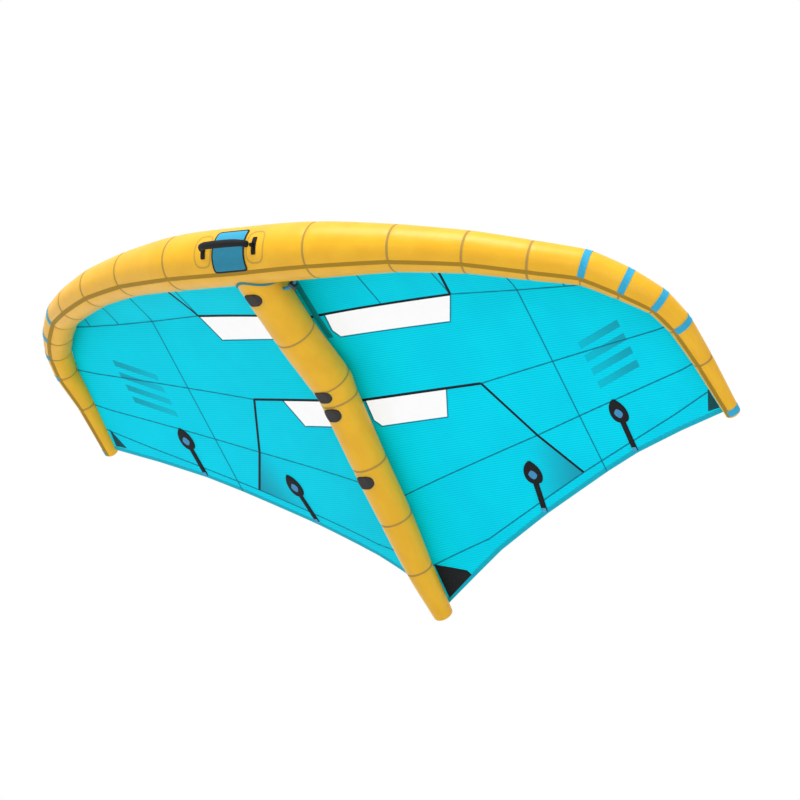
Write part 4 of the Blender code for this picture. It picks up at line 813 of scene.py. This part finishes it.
def capped(tube, stations, open_start=False):
    """Rings of (distance, share of radius), with a dome past each closed end."""
    rings = [(s, 1.0) for s in stations]
    turns = [pi / 2 * k / dome_rings for k in range(1, dome_rings)]
    ends = [(stations[-1], 1)] if open_start else [(stations[0], -1), (stations[-1], 1)]
    for end, sign in ends:
        depth = float(tube.frame(end)[1][0]) * tip_dome_share
        dome = [(end + sign * depth * sin(turn), cos(turn)) for turn in turns]
        dome.append((end + sign * depth, 0.0))
        rings = rings + dome if sign > 0 else dome[::-1] + rings
    return np.array(rings)


def tube_skin(name, tube, rings, facets, finishes, lift, thickness, nodes, start_at=None):
    """One skin round a tube; start_at gives where it begins at each angle, for a mitred end."""
    last = len(rings) - 1
    start = rings[0, 0]

    def shape(u, v):
        angle = pi / 2 + tau * u
        i = np.rint(v * last).astype(int)
        s, share = rings[i, 0], rings[i, 1]
        if start_at:
            blend = start + strut_diameter
            near = np.clip((blend - s) / (blend - start), 0, 1)
            s = s + (start_at(angle) - start) * near
        return tube.skin(s, angle, lift * share, share)

    def measure(u, v):
        i = np.rint(v * last).astype(int)
        return np.stack([rings[i, 0], u * tau * leading_edge_diameter / 2], axis=1)

    bm = bmesh.new()
    add_grid(bm, facets, last, shape, measure)
    return finish(name, bm, finishes, thickness=thickness, nodes=nodes)


def make_inner_tube(name, tube, first, node):
    """The bladder, a little inside the casing."""
    stations = stations_between(tube, first, tube.seams[-1] - bladder_room, bladder_ring_step)
    tube_skin(name, tube, capped(tube, stations), bladder_facets, [bladder_film], -bladder_room, film_wall,
              [node])


def make_leading_edge():
    end = leading_edge.seams[-1]
    nodes = ["leading_edge_centre"]
    nodes += [f"leading_edge_{part}_{side}" for part in ("inner", "outer", "tip") for side, _ in sides]
    rings = capped(leading_edge, stations_between(leading_edge, -end, end, ring_step))
    skin = tube_skin("leading_edge_skin", leading_edge, rings, leading_edge_facets, [yellow], -skin_wall / 2,
                     skin_wall, nodes)
    make_inner_tube("leading_edge_inner_tube", leading_edge, -end + bladder_room, "leading_edge_bladder")


def junction_start(angle):
    """Where the strut's skin meets the leading edge, at each angle round the strut."""
    begin = []
    for each in np.atleast_1d(angle):
        points = strut.skin(junction_tries, each)
        centre, radius, _, _, _ = leading_edge.frame(points[:, 0])
        out = np.hypot(points[:, 1] - centre[:, 1], points[:, 2] - centre[:, 2]) - radius * round_share
        meets = out.min() < 0
        begin.append(np.interp(junction_room, out, junction_tries) if meets else junction_tries[0])
    return np.array(begin)


def make_strut():
    angles = np.linspace(pi / 2, pi / 2 + tau, strut_facets + 1)
    starts = junction_start(angles)

    def start_at(angle):
        return np.interp(angle, angles, starts)

    rings = capped(strut, stations_between(strut, 0.0, strut.seams[-1], ring_step), open_start=True)
    skin = tube_skin("strut_skin", strut, rings, strut_facets, [yellow], -skin_wall / 2, skin_wall,
                     ["strut_front", "strut_middle", "strut_tail"], start_at)
    make_inner_tube("strut_inner_tube", strut, strut_diameter / 2, "strut_bladder")
    make_piping(start_at)


def make_piping(start_at):
    """A rounded tape over the joint of strut and leading edge, but for the joint's top under the canopy."""
    radius = strut_diameter / 2

    def place(flat, lift):
        angle = flat[:, 0] / radius
        s = start_at(np.mod(angle - pi / 2, tau) + pi / 2) + flat[:, 1]
        return strut.skin(s, angle, lift)

    path = [((pi / 2 + tau * k / 90) * radius, piping_offset) for k in range(6, 85)]
    ribbon_piece("junction_piping", piping_teal, place, path, piping_width, thickness=0.8 * MM,
                 lift=rounded(low=1.5 * MM, swell=2.4 * MM), across=6)


# Canopy

canopy_columns = 220
canopy_rows = 92
canopy_weld = 0.5 * MM
edge_step = 10 * MM
cut_reach = 0.06
cut_weld = 0.3 * MM
seam_end_room = 12 * MM


def plan(shares):
    """Plan places from shares of half span and strut length."""
    return [(half_span * a, strut_length * b) for a, b in shares]


def mirrored(path, sign):
    return [(x * sign, y) for x, y in path]


def seam_path(label, from_x=0.0, to_x=None):
    """Plan places along a seam, from one distance from the strut to another or to the leading edge."""
    shares, end_share = seam_shares[label]
    line = np.array(plan(shares))
    end = seat_points[np.abs(seat_stations - seat_at_y(strut_length * end_share)).argmin(), :2]
    line = np.vstack([line[line[:, 0] < end[0] - seam_end_room], end])
    to_x = end[0] if to_x is None else to_x
    inside = [tuple(p) for p in line if from_x < p[0] < to_x]
    ends = [(x, float(np.interp(x, line[:, 0], line[:, 1]))) for x in (from_x, to_x)]
    return [ends[0]] + inside + [ends[1]]


def at_seam(label, x):
    return seam_path(label, x)[0]


def at_seat(x):
    """The plan place on the canopy's seat at a distance from the strut."""
    return x, float(np.interp(x, inner_seat[:, 0], inner_seat[:, 1]))


def window_corners(shares, label):
    """A window's corners, with the front two on a seam."""
    corners = plan(shares)
    return [at_seam(label, corners[0][0])] + corners[1:4] + [at_seam(label, corners[4][0])]


def cut_inside(bm, corners, index):
    """Cuts the flat sheet along a polygon's sides and gives the faces inside it another finish."""
    corners = [Vector((*corner, 0)) for corner in corners]
    edges = list(zip(corners, corners[1:] + corners[:1]))
    low = [min(corner[k] for corner in corners) - cut_reach for k in (0, 1)]
    high = [max(corner[k] for corner in corners) + cut_reach for k in (0, 1)]
    for first, last in edges:
        aside = (last - first).cross(Vector((0, 0, 1))).normalized()
        near = [face for face in bm.faces
                if all(low[k] < face.calc_center_median()[k] < high[k] for k in (0, 1))]
        near_edges = {edge for face in near for edge in face.edges}
        near_vertices = {vertex for face in near for vertex in face.verts}
        bmesh.ops.bisect_plane(bm, geom=[*near, *near_edges, *near_vertices], plane_co=first, plane_no=aside,
                               dist=cut_weld)
    for face in bm.faces:
        centre = face.calc_center_median()
        turns = [(last - first).cross(centre - first).z for first, last in edges]
        if all(turn > 0 for turn in turns) or all(turn < 0 for turn in turns):
            face.material_index = index


def make_canopy():
    """One sheet from tip to tip: from its seat on the leading edge to the trailing edge."""
    end_s = seat_at_y(strut_length * seam_shares["edge"][1])
    edge = resampled(seam_path("edge"), edge_step)
    leaps = np.linalg.norm(np.diff(edge, axis=0), axis=1)
    run = np.concatenate([[0], np.cumsum(leaps)])
    run /= run[-1]

    def flat(u, v):
        side = 2 * u - 1
        share = np.abs(side)
        seats = [np.interp(share * end_s, seat_stations, seat_points[:, k]) for k in (0, 1)]
        backs = [np.interp(share, run, edge[:, k]) for k in (0, 1)]
        place = np.stack(seats, axis=1) * (1 - v)[:, None] + np.stack(backs, axis=1) * v[:, None]
        place[:, 0] *= np.sign(side)
        return np.column_stack([place, np.zeros(len(u))])

    bm = bmesh.new()
    add_grid(bm, canopy_columns, canopy_rows, flat)
    bmesh.ops.remove_doubles(bm, verts=bm.verts[:], dist=canopy_weld)
    for _, sign in sides:
        cut_inside(bm, mirrored(window_corners(front_window_shares, "front"), sign), 1)
        cut_inside(bm, mirrored(window_corners(rear_window_shares, "middle"), sign), 1)
    layer = bm.loops.layers.uv["cloth"]
    for face in bm.faces:
        for loop in face.loops:
            loop[layer].uv = loop.vert.co[:2]
    points = np.array([vertex.co[:2] for vertex in bm.verts])
    for vertex, height in zip(bm.verts, canopy_z(points[:, 0], points[:, 1])):
        vertex.co.z = height
    rows = ("front", "middle", "rear", "aft")
    panels = [f"canopy_{row}_{part}" for row in rows for part in ("inner", "outer")]
    panels += ["front_window", "rear_window", "trailing_band"]
    nodes = [f"{panel}_{side}" for side, _ in sides for panel in panels]
    piece = finish("canopy", bm, [cyan, film], thickness=cloth, nodes=nodes)


# Seams and tapes on the canopy, seen on both of its faces

thin_seam_width = 5 * MM
thin_seam_height = 1.5 * MM
black_tape_width = 11 * MM
black_tape_height = 1.8 * MM
hem_width = 19 * MM
hem_height = 1.0 * MM
hem_inset = 9 * MM
seat_tape_width = 26 * MM
seat_tape_start = 0.1 * MM
front_corner_x = 0.6685
front_seat_x = 0.745
rising_seams = ((0.670, 0.668), (1.187, 1.184), (1.363, 1.3585))
port_rising_seam = (0.3355, 0.3476)
side_strip = ((0.0506, 0.19), (0.0462, 0.512))
side_strip_width = 25 * MM


def black_paths():
    """Along the windows' front sides, out to the leading edge and back to the band."""
    corner_x = half_span * corner_share
    rear_corner = at_seam("rear", half_span * rear_corner_share)
    band_corner = at_seam("band", half_span * band_corner_share)
    front_seat = seat_points[np.abs(seat_points[:, 0] - front_seat_x).argmin(), :2]
    return [seam_path("front", 0.0, front_corner_x), [at_seam("front", front_corner_x), front_seat],
            seam_path("middle", 0.0, corner_x), [at_seam("middle", corner_x), rear_corner, band_corner]]


def thin_paths(side):
    """Between panels, round the windows, and up the front strip, which has one more seam to port."""
    long_x = half_span * long_seam_share
    rising = rising_seams + ((port_rising_seam,) if side == "port" else ())
    return [seam_path("front", front_corner_x), seam_path("middle", half_span * corner_share),
            seam_path("rear"), seam_path("band"), [at_seat(long_x), at_seam("edge", long_x)],
            *([at_seat(x_front), at_seam("front", x_back)] for x_front, x_back in rising),
            window_corners(front_window_shares, "front"), window_corners(rear_window_shares, "middle")]


def make_seams():
    edge = seam_path("edge")
    hem = [(x, y - hem_inset) for x, y in edge]
    seat_line = np.linspace(seat_tape_start, seat_at_y(edge[-1][1]), 90)
    for side, sign in sides:
        for name, paths, width, height, material in (
                ("canopy_seams", thin_paths(side), thin_seam_width, thin_seam_height, teal_seam),
                ("canopy_tapes", black_paths(), black_tape_width, black_tape_height, black_tape),
                ("trailing_hem", [hem], hem_width, hem_height, hem_teal)):
            bm = bmesh.new()
            for line in paths:
                add_ribbon(bm, on_canopy, mirrored(line, sign), width)
            finish(f"{name}_{side}", bm, [material], thickness=cloth + height)
        path = [(sign * s, 0.0) for s in seat_line]
        ribbon_piece(f"seat_tape_{side}", seat_yellow, seat_tape_place, path, seat_tape_width,
                     thickness=0.6 * MM, lift=1.6 * MM, step=40 * MM)
    ribbon_piece("strut_side_strip_port", side_teal, on_canopy, side_strip, side_strip_width,
                 thickness=0.9 * MM, lift=-1.1 * MM)


def seat_tape_place(flat, lift):
    """Over the canopy's front edge: half on the tube in front of its seat, half on the cloth."""
    sign = np.where(flat[:, 0] < 0, -1.0, 1.0)
    s, across = np.abs(flat[:, 0]), flat[:, 1] * sign
    radius = leading_edge.frame(s)[1]
    on_tube = leading_edge.skin(s, seat_angle(s) + np.clip(across, 0, None) / radius, lift)
    back = seat(s)[:, :2] + np.array([0.0, 1.0]) * np.clip(-across, 0, None)[:, None]
    made = np.where((across > 0)[:, None], on_tube, on_canopy(back, lift))
    made[:, 0] *= sign
    return made


# Patches at the tail and the tips

patch_cells = 14
patch_room = 0.6 * MM


def make_patches():
    for label, shares, material in (("tail_patch", tail_patch_shares, patch_black),
                                    ("tip_patch", tip_patch_shares, tip_black)):
        corners = np.array(plan(shares))
        for side, sign in sides:
            def shape(u, v):
                front = corners[0] * (1 - u)[:, None] + corners[1] * u[:, None]
                rear = corners[3] * (1 - u)[:, None] + corners[2] * u[:, None]
                flat = front * (1 - v)[:, None] + rear * v[:, None]
                return on_canopy(flat * (sign, 1), -(cloth / 2 + patch_room))

            bm = bmesh.new()
            add_grid(bm, patch_cells, patch_cells, shape)
            finish(f"{label}_cloth_{side}", bm, [material], thickness=0.8 * MM, nodes=[f"{label}_{side}"])


# Battens: a teardrop pocket that narrows to a strip, with a patch on its bulb and a tab at its end

batten_places = {"inner": (0.390, 0.366), "outer": (0.698, 0.692)}
batten_length = 0.242
batten_end_room = 12 * MM
pad_length = 0.108
pad_width = 0.080
strip_width = 25 * MM
bulb_share = 0.62
bulb_power = 0.7
pocket_tip_half_width = 3 * MM
pocket_edge_height = 1.2 * MM
pocket_swell = 2.6 * MM
pad_patch_share = 0.60
pad_patch_half_size = (21 * MM, 19 * MM)
tab_inset = 8 * MM
tab_half_size = (9 * MM, 10 * MM)


def batten_line(shares):
    """Tip and end of a batten pocket in plan."""
    tip_x, end_x = (half_span * share for share in shares)
    line = np.array(plan(seam_shares["edge"][0]))
    end_y = float(np.interp(end_x, line[:, 0], line[:, 1])) - batten_end_room
    return np.array([tip_x, end_y - batten_length]), np.array([end_x, end_y])


def pocket_half_width(d):
    share = np.clip(d / pad_length, 0, 1)
    neck = strip_width / pad_width
    bulb = np.sin(pi / 2 * (share / bulb_share) ** bulb_power)
    past = (share - bulb_share) / (1 - bulb_share)
    taper = neck + (1 - neck) * np.sqrt(np.clip(1 - past ** 2, 0, 1))
    return np.maximum(np.where(share < bulb_share, bulb, taper) * pad_width / 2, pocket_tip_half_width)


def make_batten_pocket(label, side, sign):
    tip, end = batten_line(batten_places[label])
    along = unit(end - tip)
    aside = np.array([-along[1], along[0]])

    def under(flat, lift):
        """Along and across the pocket, under the cloth."""
        place = tip + flat[:, :1] * along + flat[:, 1:] * aside
        return on_canopy(place * (sign, 1), -(cloth / 2 + lift))

    def shape(u, v):
        d = u * batten_length
        across = 2 * v - 1
        flat = np.stack([d, across * pocket_half_width(d)], axis=1)
        return under(flat, pocket_edge_height + pocket_swell * (1 - np.abs(across) ** 5))

    def measure(u, v):
        return np.stack([u * batten_length, (v - 0.5) * pad_width], axis=1)

    bm = bmesh.new()
    add_grid(bm, 60, 16, shape, measure)
    finish(f"batten_pocket_cloth_{label}_{side}", bm, [pocket_black], thickness=0.9 * MM,
           nodes=[f"batten_pocket_{label}_{side}"])
    patch_piece(f"batten_pad_patch_{label}_{side}", pad_blue,
                lambda flat, lift: under(flat + (pad_length * pad_patch_share, 0), lift),
                pad_patch_half_size, thickness=0.6 * MM, power=1.5, lift=4.6 * MM, cells=12)
    patch_piece(f"batten_tab_{label}_{side}", tab_blue,
                lambda flat, lift: under(flat + (batten_length - tab_inset, 0), lift),
                tab_half_size, thickness=0.8 * MM, power=6, lift=4.8 * MM, cells=8)


def make_battens():
    for label in batten_places:
        for side, sign in sides:
            make_batten_pocket(label, side, sign)


# Tapes, seams and bands round the tubes, at angles from a tube's rear side

seam_tape_angle = radians(-86)
seam_tape_drift = radians(6)
seam_tape_drift_reach = 1.1
seam_tape_width = 18 * MM
ring_points = 96
ring_seam_width = 8.5 * MM
mount_numbers = (1, 2, 3, 4)
mount_seam_half_size = (37 * MM, 47 * MM)
mount_seam_power = 2.4
mount_seam_width = 3 * MM
band_path = [(radians(a), 0.0) for a in np.linspace(-98, -268, 60)]
band_width = 28 * MM
band_seams = (5, 6, 7, 8)
band_reach = 8 * MM
tip_trim_inset = 14 * MM


def make_seam_tape():
    """The tape along the leading edge's lower side, a little further forward at the tips."""
    end = leading_edge.seams[-1]

    def place(flat, lift):
        angle = seam_tape_angle - seam_tape_drift * np.clip(np.abs(flat[:, 0]) / seam_tape_drift_reach, 0, 1)
        return leading_edge.skin(flat[:, 0], angle + flat[:, 1] / leading_edge.frame(flat[:, 0])[1], lift)

    path = [(s, 0.0) for s in np.linspace(-end, end, 150)]
    ribbon_piece("leading_edge_seam_tape", tape_ochre, place, path, seam_tape_width, thickness=1.2 * MM,
                 lift=0.7 * MM, step=50 * MM)


def make_ring_seams():
    bm = bmesh.new()
    path = [(tau * k / ring_points, 0.0) for k in range(ring_points + 1)]
    for tube in (leading_edge, strut):
        for s in tube.seams[1:-1]:
            def place(flat, lift):
                return tube.skin(s + flat[:, 1], flat[:, 0], lift)

            add_ribbon(bm, place, path, ring_seam_width, lift=0.6 * MM, step=1.0)
    finish("ring_seams", bm, [ring_grey], thickness=0.4 * MM)


def make_mount_pad_seams():
    """An outline of stitches round each mount pad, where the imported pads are."""
    bm = bmesh.new()
    for k in mount_numbers:
        low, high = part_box(f"strut_handle_mount_{k}")
        middle = held_to_level @ ((Vector(low) + Vector(high)) / 2)
        s = float(np.interp(middle.y, strut.dense[:, 1], strut.distance))
        path = outline_path(*mount_seam_half_size, mount_seam_power, 72)
        add_ribbon(bm, TubeFace(strut, s, -pi / 2), path, mount_seam_width, lift=0.6 * MM, step=6 * MM,
                   closed=True)
    finish("mount_pad_seams", bm, [pale_stitch], thickness=0.4 * MM)


def make_bands():
    """Blue bands over four ring seams each side, equally wide all round, and a trim at each tip."""
    for k in band_seams:
        for side, sign in sides:
            s = sign * leading_edge.seams[len(leading_edge.seams) // 2 + k - 1]

            def place(flat, lift):
                angle = flat[:, 0]
                near = leading_edge.skin(s + band_reach, angle) - leading_edge.skin(s - band_reach, angle)
                stretch = np.linalg.norm(near, axis=1) / (2 * band_reach)
                return leading_edge.skin(s + flat[:, 1] / stretch, angle, lift)

            ribbon_piece(f"wear_band_{k}_{side}", band_blue, place, band_path, band_width,
                         thickness=0.7 * MM, lift=1.3 * MM, step=1.0, across=6)
    for side, sign in sides:
        def place(flat, lift):
            middle = sign * (leading_edge.seams[-1] - tip_trim_inset)
            return leading_edge.skin(middle + flat[:, 1], flat[:, 0], lift)

        ribbon_piece(f"tip_trim_{side}", band_blue, place, band_path, band_width,
                     thickness=0.7 * MM, lift=1.0 * MM, step=1.0, across=6)


# Front handle

handle_length = 0.265
handle_across = np.array([0, -sin(handle_angle), cos(handle_angle)])
chafe_pad_angle = radians(-136)
chafe_pad_half_size = (85 * MM, radians(44) * leading_edge_diameter / 2)
chafe_pad_power = 16
trim_inset = 1 * MM
trim_width = 8 * MM
anchor_tab_half_size = (11 * MM, 36 * MM)
handle_patch_middle = (0.136, radians(-139))
handle_patch_half_size = (42 * MM, 67 * MM)
handle_patch_power = 3.2
handle_patch_seam_width = 6.5 * MM
loop_width = 11 * MM
loop_length = 40 * MM
loop_reach = 6.5 * MM
loop_foot_drop = 6 * MM
grip_end_room = 15.3 * MM
grip_rise = 41.7 * MM
grip_foot = 8.8 * MM
grip_power = 3.2
grip_end_radius = 9 * MM
grip_swell = 6.5 * MM
grip_close_share = 0.03
grip_flare_share = 0.42
grip_flare_start_share = 0.62
grip_flare_run_share = 0.3
grip_run = 0.32
grip_girth = 0.075


def chafe_pad_waist(y):
    """The chafe pad is a little narrower near its top and at its waist."""
    return 0.97 + 0.03 * y ** 2 - 0.05 * np.clip(-y, 0, 1)


def make_chafe_pad():
    face = TubeFace(leading_edge, 0.0, chafe_pad_angle)
    patch_piece("front_chafe_pad_cover", neoprene, face, chafe_pad_half_size, thickness=1.0 * MM,
                nodes=["front_chafe_pad"], slot="neoprene_blue", power=chafe_pad_power,
                lift=cushioned(low=1.2 * MM, swell=2.6 * MM, power=10), cells=26, waist=chafe_pad_waist)
    half_length, half_width = (size - trim_inset for size in chafe_pad_half_size)
    path = outline_path(half_length, half_width, chafe_pad_power, 96, chafe_pad_waist)
    ribbon_piece("front_chafe_pad_trim", trim_black, face, path, trim_width, thickness=1.0 * MM,
                 lift=rounded(low=1.8 * MM, swell=1.2 * MM), step=6 * MM, across=6, closed=True)


def make_grip_anchor(side, sign, hinge):
    """The sewn tab, its loop over the grip's pin, and the stitched outline of the patch under it."""
    out_x = sign * handle_length / 2
    patch_piece(f"front_grip_anchor_tab_{side}", strap_black, TubeFace(leading_edge, out_x, handle_angle),
                anchor_tab_half_size, thickness=1.6 * MM, nodes=[f"front_grip_anchor_{side}"],
                slot="grip_black", power=10, lift=cushioned(low=1.2 * MM, swell=0.8 * MM, power=8), cells=18)

    def loop(u, v):
        """A webbing loop from the tab, over the grip's pin and back."""
        a = pi * (1.25 - 1.5 * u)
        foot = np.clip(np.abs(2 * u - 1) - 0.8, 0, 1) * 5
        rise = np.sin(a) * loop_reach - foot * loop_foot_drop
        shift = np.cos(a) * loop_reach * (1 + foot * 0.9)
        x = out_x + (v - 0.5) * loop_width
        return (hinge * (0, 1, 1) + handle_out * rise[:, None] + handle_across * shift[:, None]
                + np.array([1, 0, 0]) * x[:, None])

    bm = bmesh.new()
    add_grid(bm, 40, 4, loop, lambda u, v: np.stack([u * loop_length, v * loop_width], axis=1))
    finish(f"front_grip_loop_{side}", bm, [strap_black], thickness=2.2 * MM)
    patch_x, patch_angle = handle_patch_middle
    path = outline_path(*handle_patch_half_size, handle_patch_power, 90)
    ribbon_piece(f"handle_patch_seam_{side}", patch_seam, TubeFace(leading_edge, sign * patch_x, patch_angle),
                 path, handle_patch_seam_width, thickness=0.5 * MM, lift=0.7 * MM, step=6 * MM, closed=True)


def make_grip(hinge):
    """The arched, padded grip: thick in the middle, and wide and drawn in at its ends."""
    reach = handle_length / 2 - grip_end_room

    def line(a):
        c, s = np.cos(a), np.sin(a)
        x = -reach * np.abs(c) ** (2 / grip_power) * np.sign(c)
        return x, grip_rise * np.clip(s, 0, 1) ** (2 / grip_power)

    def shape(u, v):
        a = pi * np.clip(v, 0.0, 1.0)
        x, z = line(a)
        ahead, behind = line(np.clip(a + 0.02, 0, pi)), line(np.clip(a - 0.02, 0, pi))
        along = unit(np.stack([ahead[0] - behind[0], ahead[1] - behind[1]], axis=1))
        from_middle = np.abs(2 * v - 1)
        past = np.clip(from_middle - (1 - grip_close_share), 0, 1)
        close = np.sqrt(np.clip(1 - past ** 2 / grip_close_share ** 2, 0, 1))
        radius = grip_end_radius + grip_swell * np.clip((z - grip_foot) / (grip_rise - grip_foot), 0, 1)
        flare = np.clip((from_middle - grip_flare_start_share) / grip_flare_run_share, 0, 1)
        wide = 1 + grip_flare_share * flare
        turn = tau * u
        flat_x = x - along[:, 1] * np.cos(turn) * radius * close
        flat_z = z + along[:, 0] * np.cos(turn) * radius * close
        aside = -handle_across
        return (hinge * (0, 1, 1) + np.array([1, 0, 0]) * flat_x[:, None] + handle_out * flat_z[:, None]
                + aside * (np.sin(turn) * radius * close * wide)[:, None])

    bm = bmesh.new()
    add_grid(bm, 36, 60, shape, lambda u, v: np.stack([v * grip_run, u * grip_girth], axis=1))
    piece = finish("front_grip_cover", bm, [grip_foam], body="grip", nodes=["front_grip"])


def make_handle():
    make_chafe_pad()
    joint = next(j for j in frame["joints"] if j["name"] == "front_grip_swing")
    hinge = np.array(held_to_level @ Vector(joint["pos_m"]))
    for side, sign in sides:
        make_grip_anchor(side, sign, hinge)
    make_grip(hinge)


def dress_frame():
    """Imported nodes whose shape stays, with their own finishes."""
    finishes = {"valve_base": valve_plastic, "valve_insert": valve_plastic, "valve_cap": valve_plastic,
                "inflation_hose": hose_cloth, "hose_clamp": clamp_plastic, "clamp_lever": clamp_plastic}
    finishes.update({f"strut_handle_mount_{k}": pad_plastic for k in mount_numbers})
    finishes.update({f"batten_{label}_{side}": rod_glass for label in batten_places for side, _ in sides})
    for name, material in finishes.items():
        node = frame["nodes"][name]
        for k in range(len(node.material_slots)):
            node.material_slots[k].material = material


# Stage, light and camera: a long lens, in front of the port side and a little below

camera_place = Vector((13.161, -14.011, -2.111))
camera_aim = Vector((0.492, 0.468, -0.593))
camera_lens = 225.0
sky_level = 0.50
floor_drop = 1.3
floor_reach = 40.0
floor_tone = 0.57
floor_glow = 0.5


def make_floor():
    """A grey floor well below the wing, that is white where it is seen."""
    low, _ = cad_box
    mesh = bpy.data.meshes.new("studio_floor")
    bm = bmesh.new()
    bmesh.ops.create_grid(bm, x_segments=1, y_segments=1, size=floor_reach)
    bmesh.ops.translate(bm, verts=bm.verts[:], vec=(0, 0, low.z - floor_drop))
    bm.to_mesh(mesh)
    bm.free()
    floor = bpy.data.objects.new("studio_floor", mesh)
    bpy.context.scene.collection.objects.link(floor)
    shade = Shade("studio_floor", (floor_tone, floor_tone, floor_tone), roughness=0.9,
                  emission_strength=floor_glow)
    glow = shade.mix(shade.backdrop(), (0.0, 0.0, 0.0), (1.0, 1.0, 1.0))
    shade.feed(shade.shader.inputs["Emission Color"], glow)
    mesh.materials.append(shade.material)


def make_world():
    """A sky that is white where it is seen and greyer where it only lights."""
    world = bpy.data.worlds.new("studio")
    bpy.context.scene.world = world
    nodes = Nodes(world)
    background = nodes.tree.nodes["Background"].inputs
    background["Color"].default_value = (1, 1, 1, 1)
    nodes.feed(background["Strength"], nodes.backdrop() * (1 - sky_level) + sky_level)


def make_sun(name, direction, strength, spread):
    """A sun that shines from a direction, its spread in degrees."""
    data = bpy.data.lights.new(name, "SUN")
    data.energy = strength
    data.angle = radians(spread)
    item = bpy.data.objects.new(name, data)
    item.rotation_euler = (-Vector(direction)).to_track_quat("-Z", "Y").to_euler()
    bpy.context.scene.collection.objects.link(item)


def make_camera():
    data = bpy.data.cameras.new("camera")
    data.lens = camera_lens
    data.sensor_width = 36.0
    data.clip_end = 200.0
    item = bpy.data.objects.new("camera", data)
    item.location = camera_place
    item.rotation_euler = (camera_aim - camera_place).to_track_quat("-Z", "Y").to_euler()
    bpy.context.scene.collection.objects.link(item)
    bpy.context.scene.camera = item


make_camera()
make_leading_edge()
make_strut()
make_canopy()
make_seams()
make_patches()
make_battens()
make_seam_tape()
make_ring_seams()
make_mount_pad_seams()
make_bands()
make_handle()
dress_frame()
make_floor()
make_world()
make_sun("key_light", direction=(-0.10, -0.30, 0.95), strength=3.3, spread=30)
make_sun("fill_light", direction=(0.74, -0.66, 0.04), strength=1.15, spread=50)
bpy.context.scene.view_settings.view_transform = "Standard"
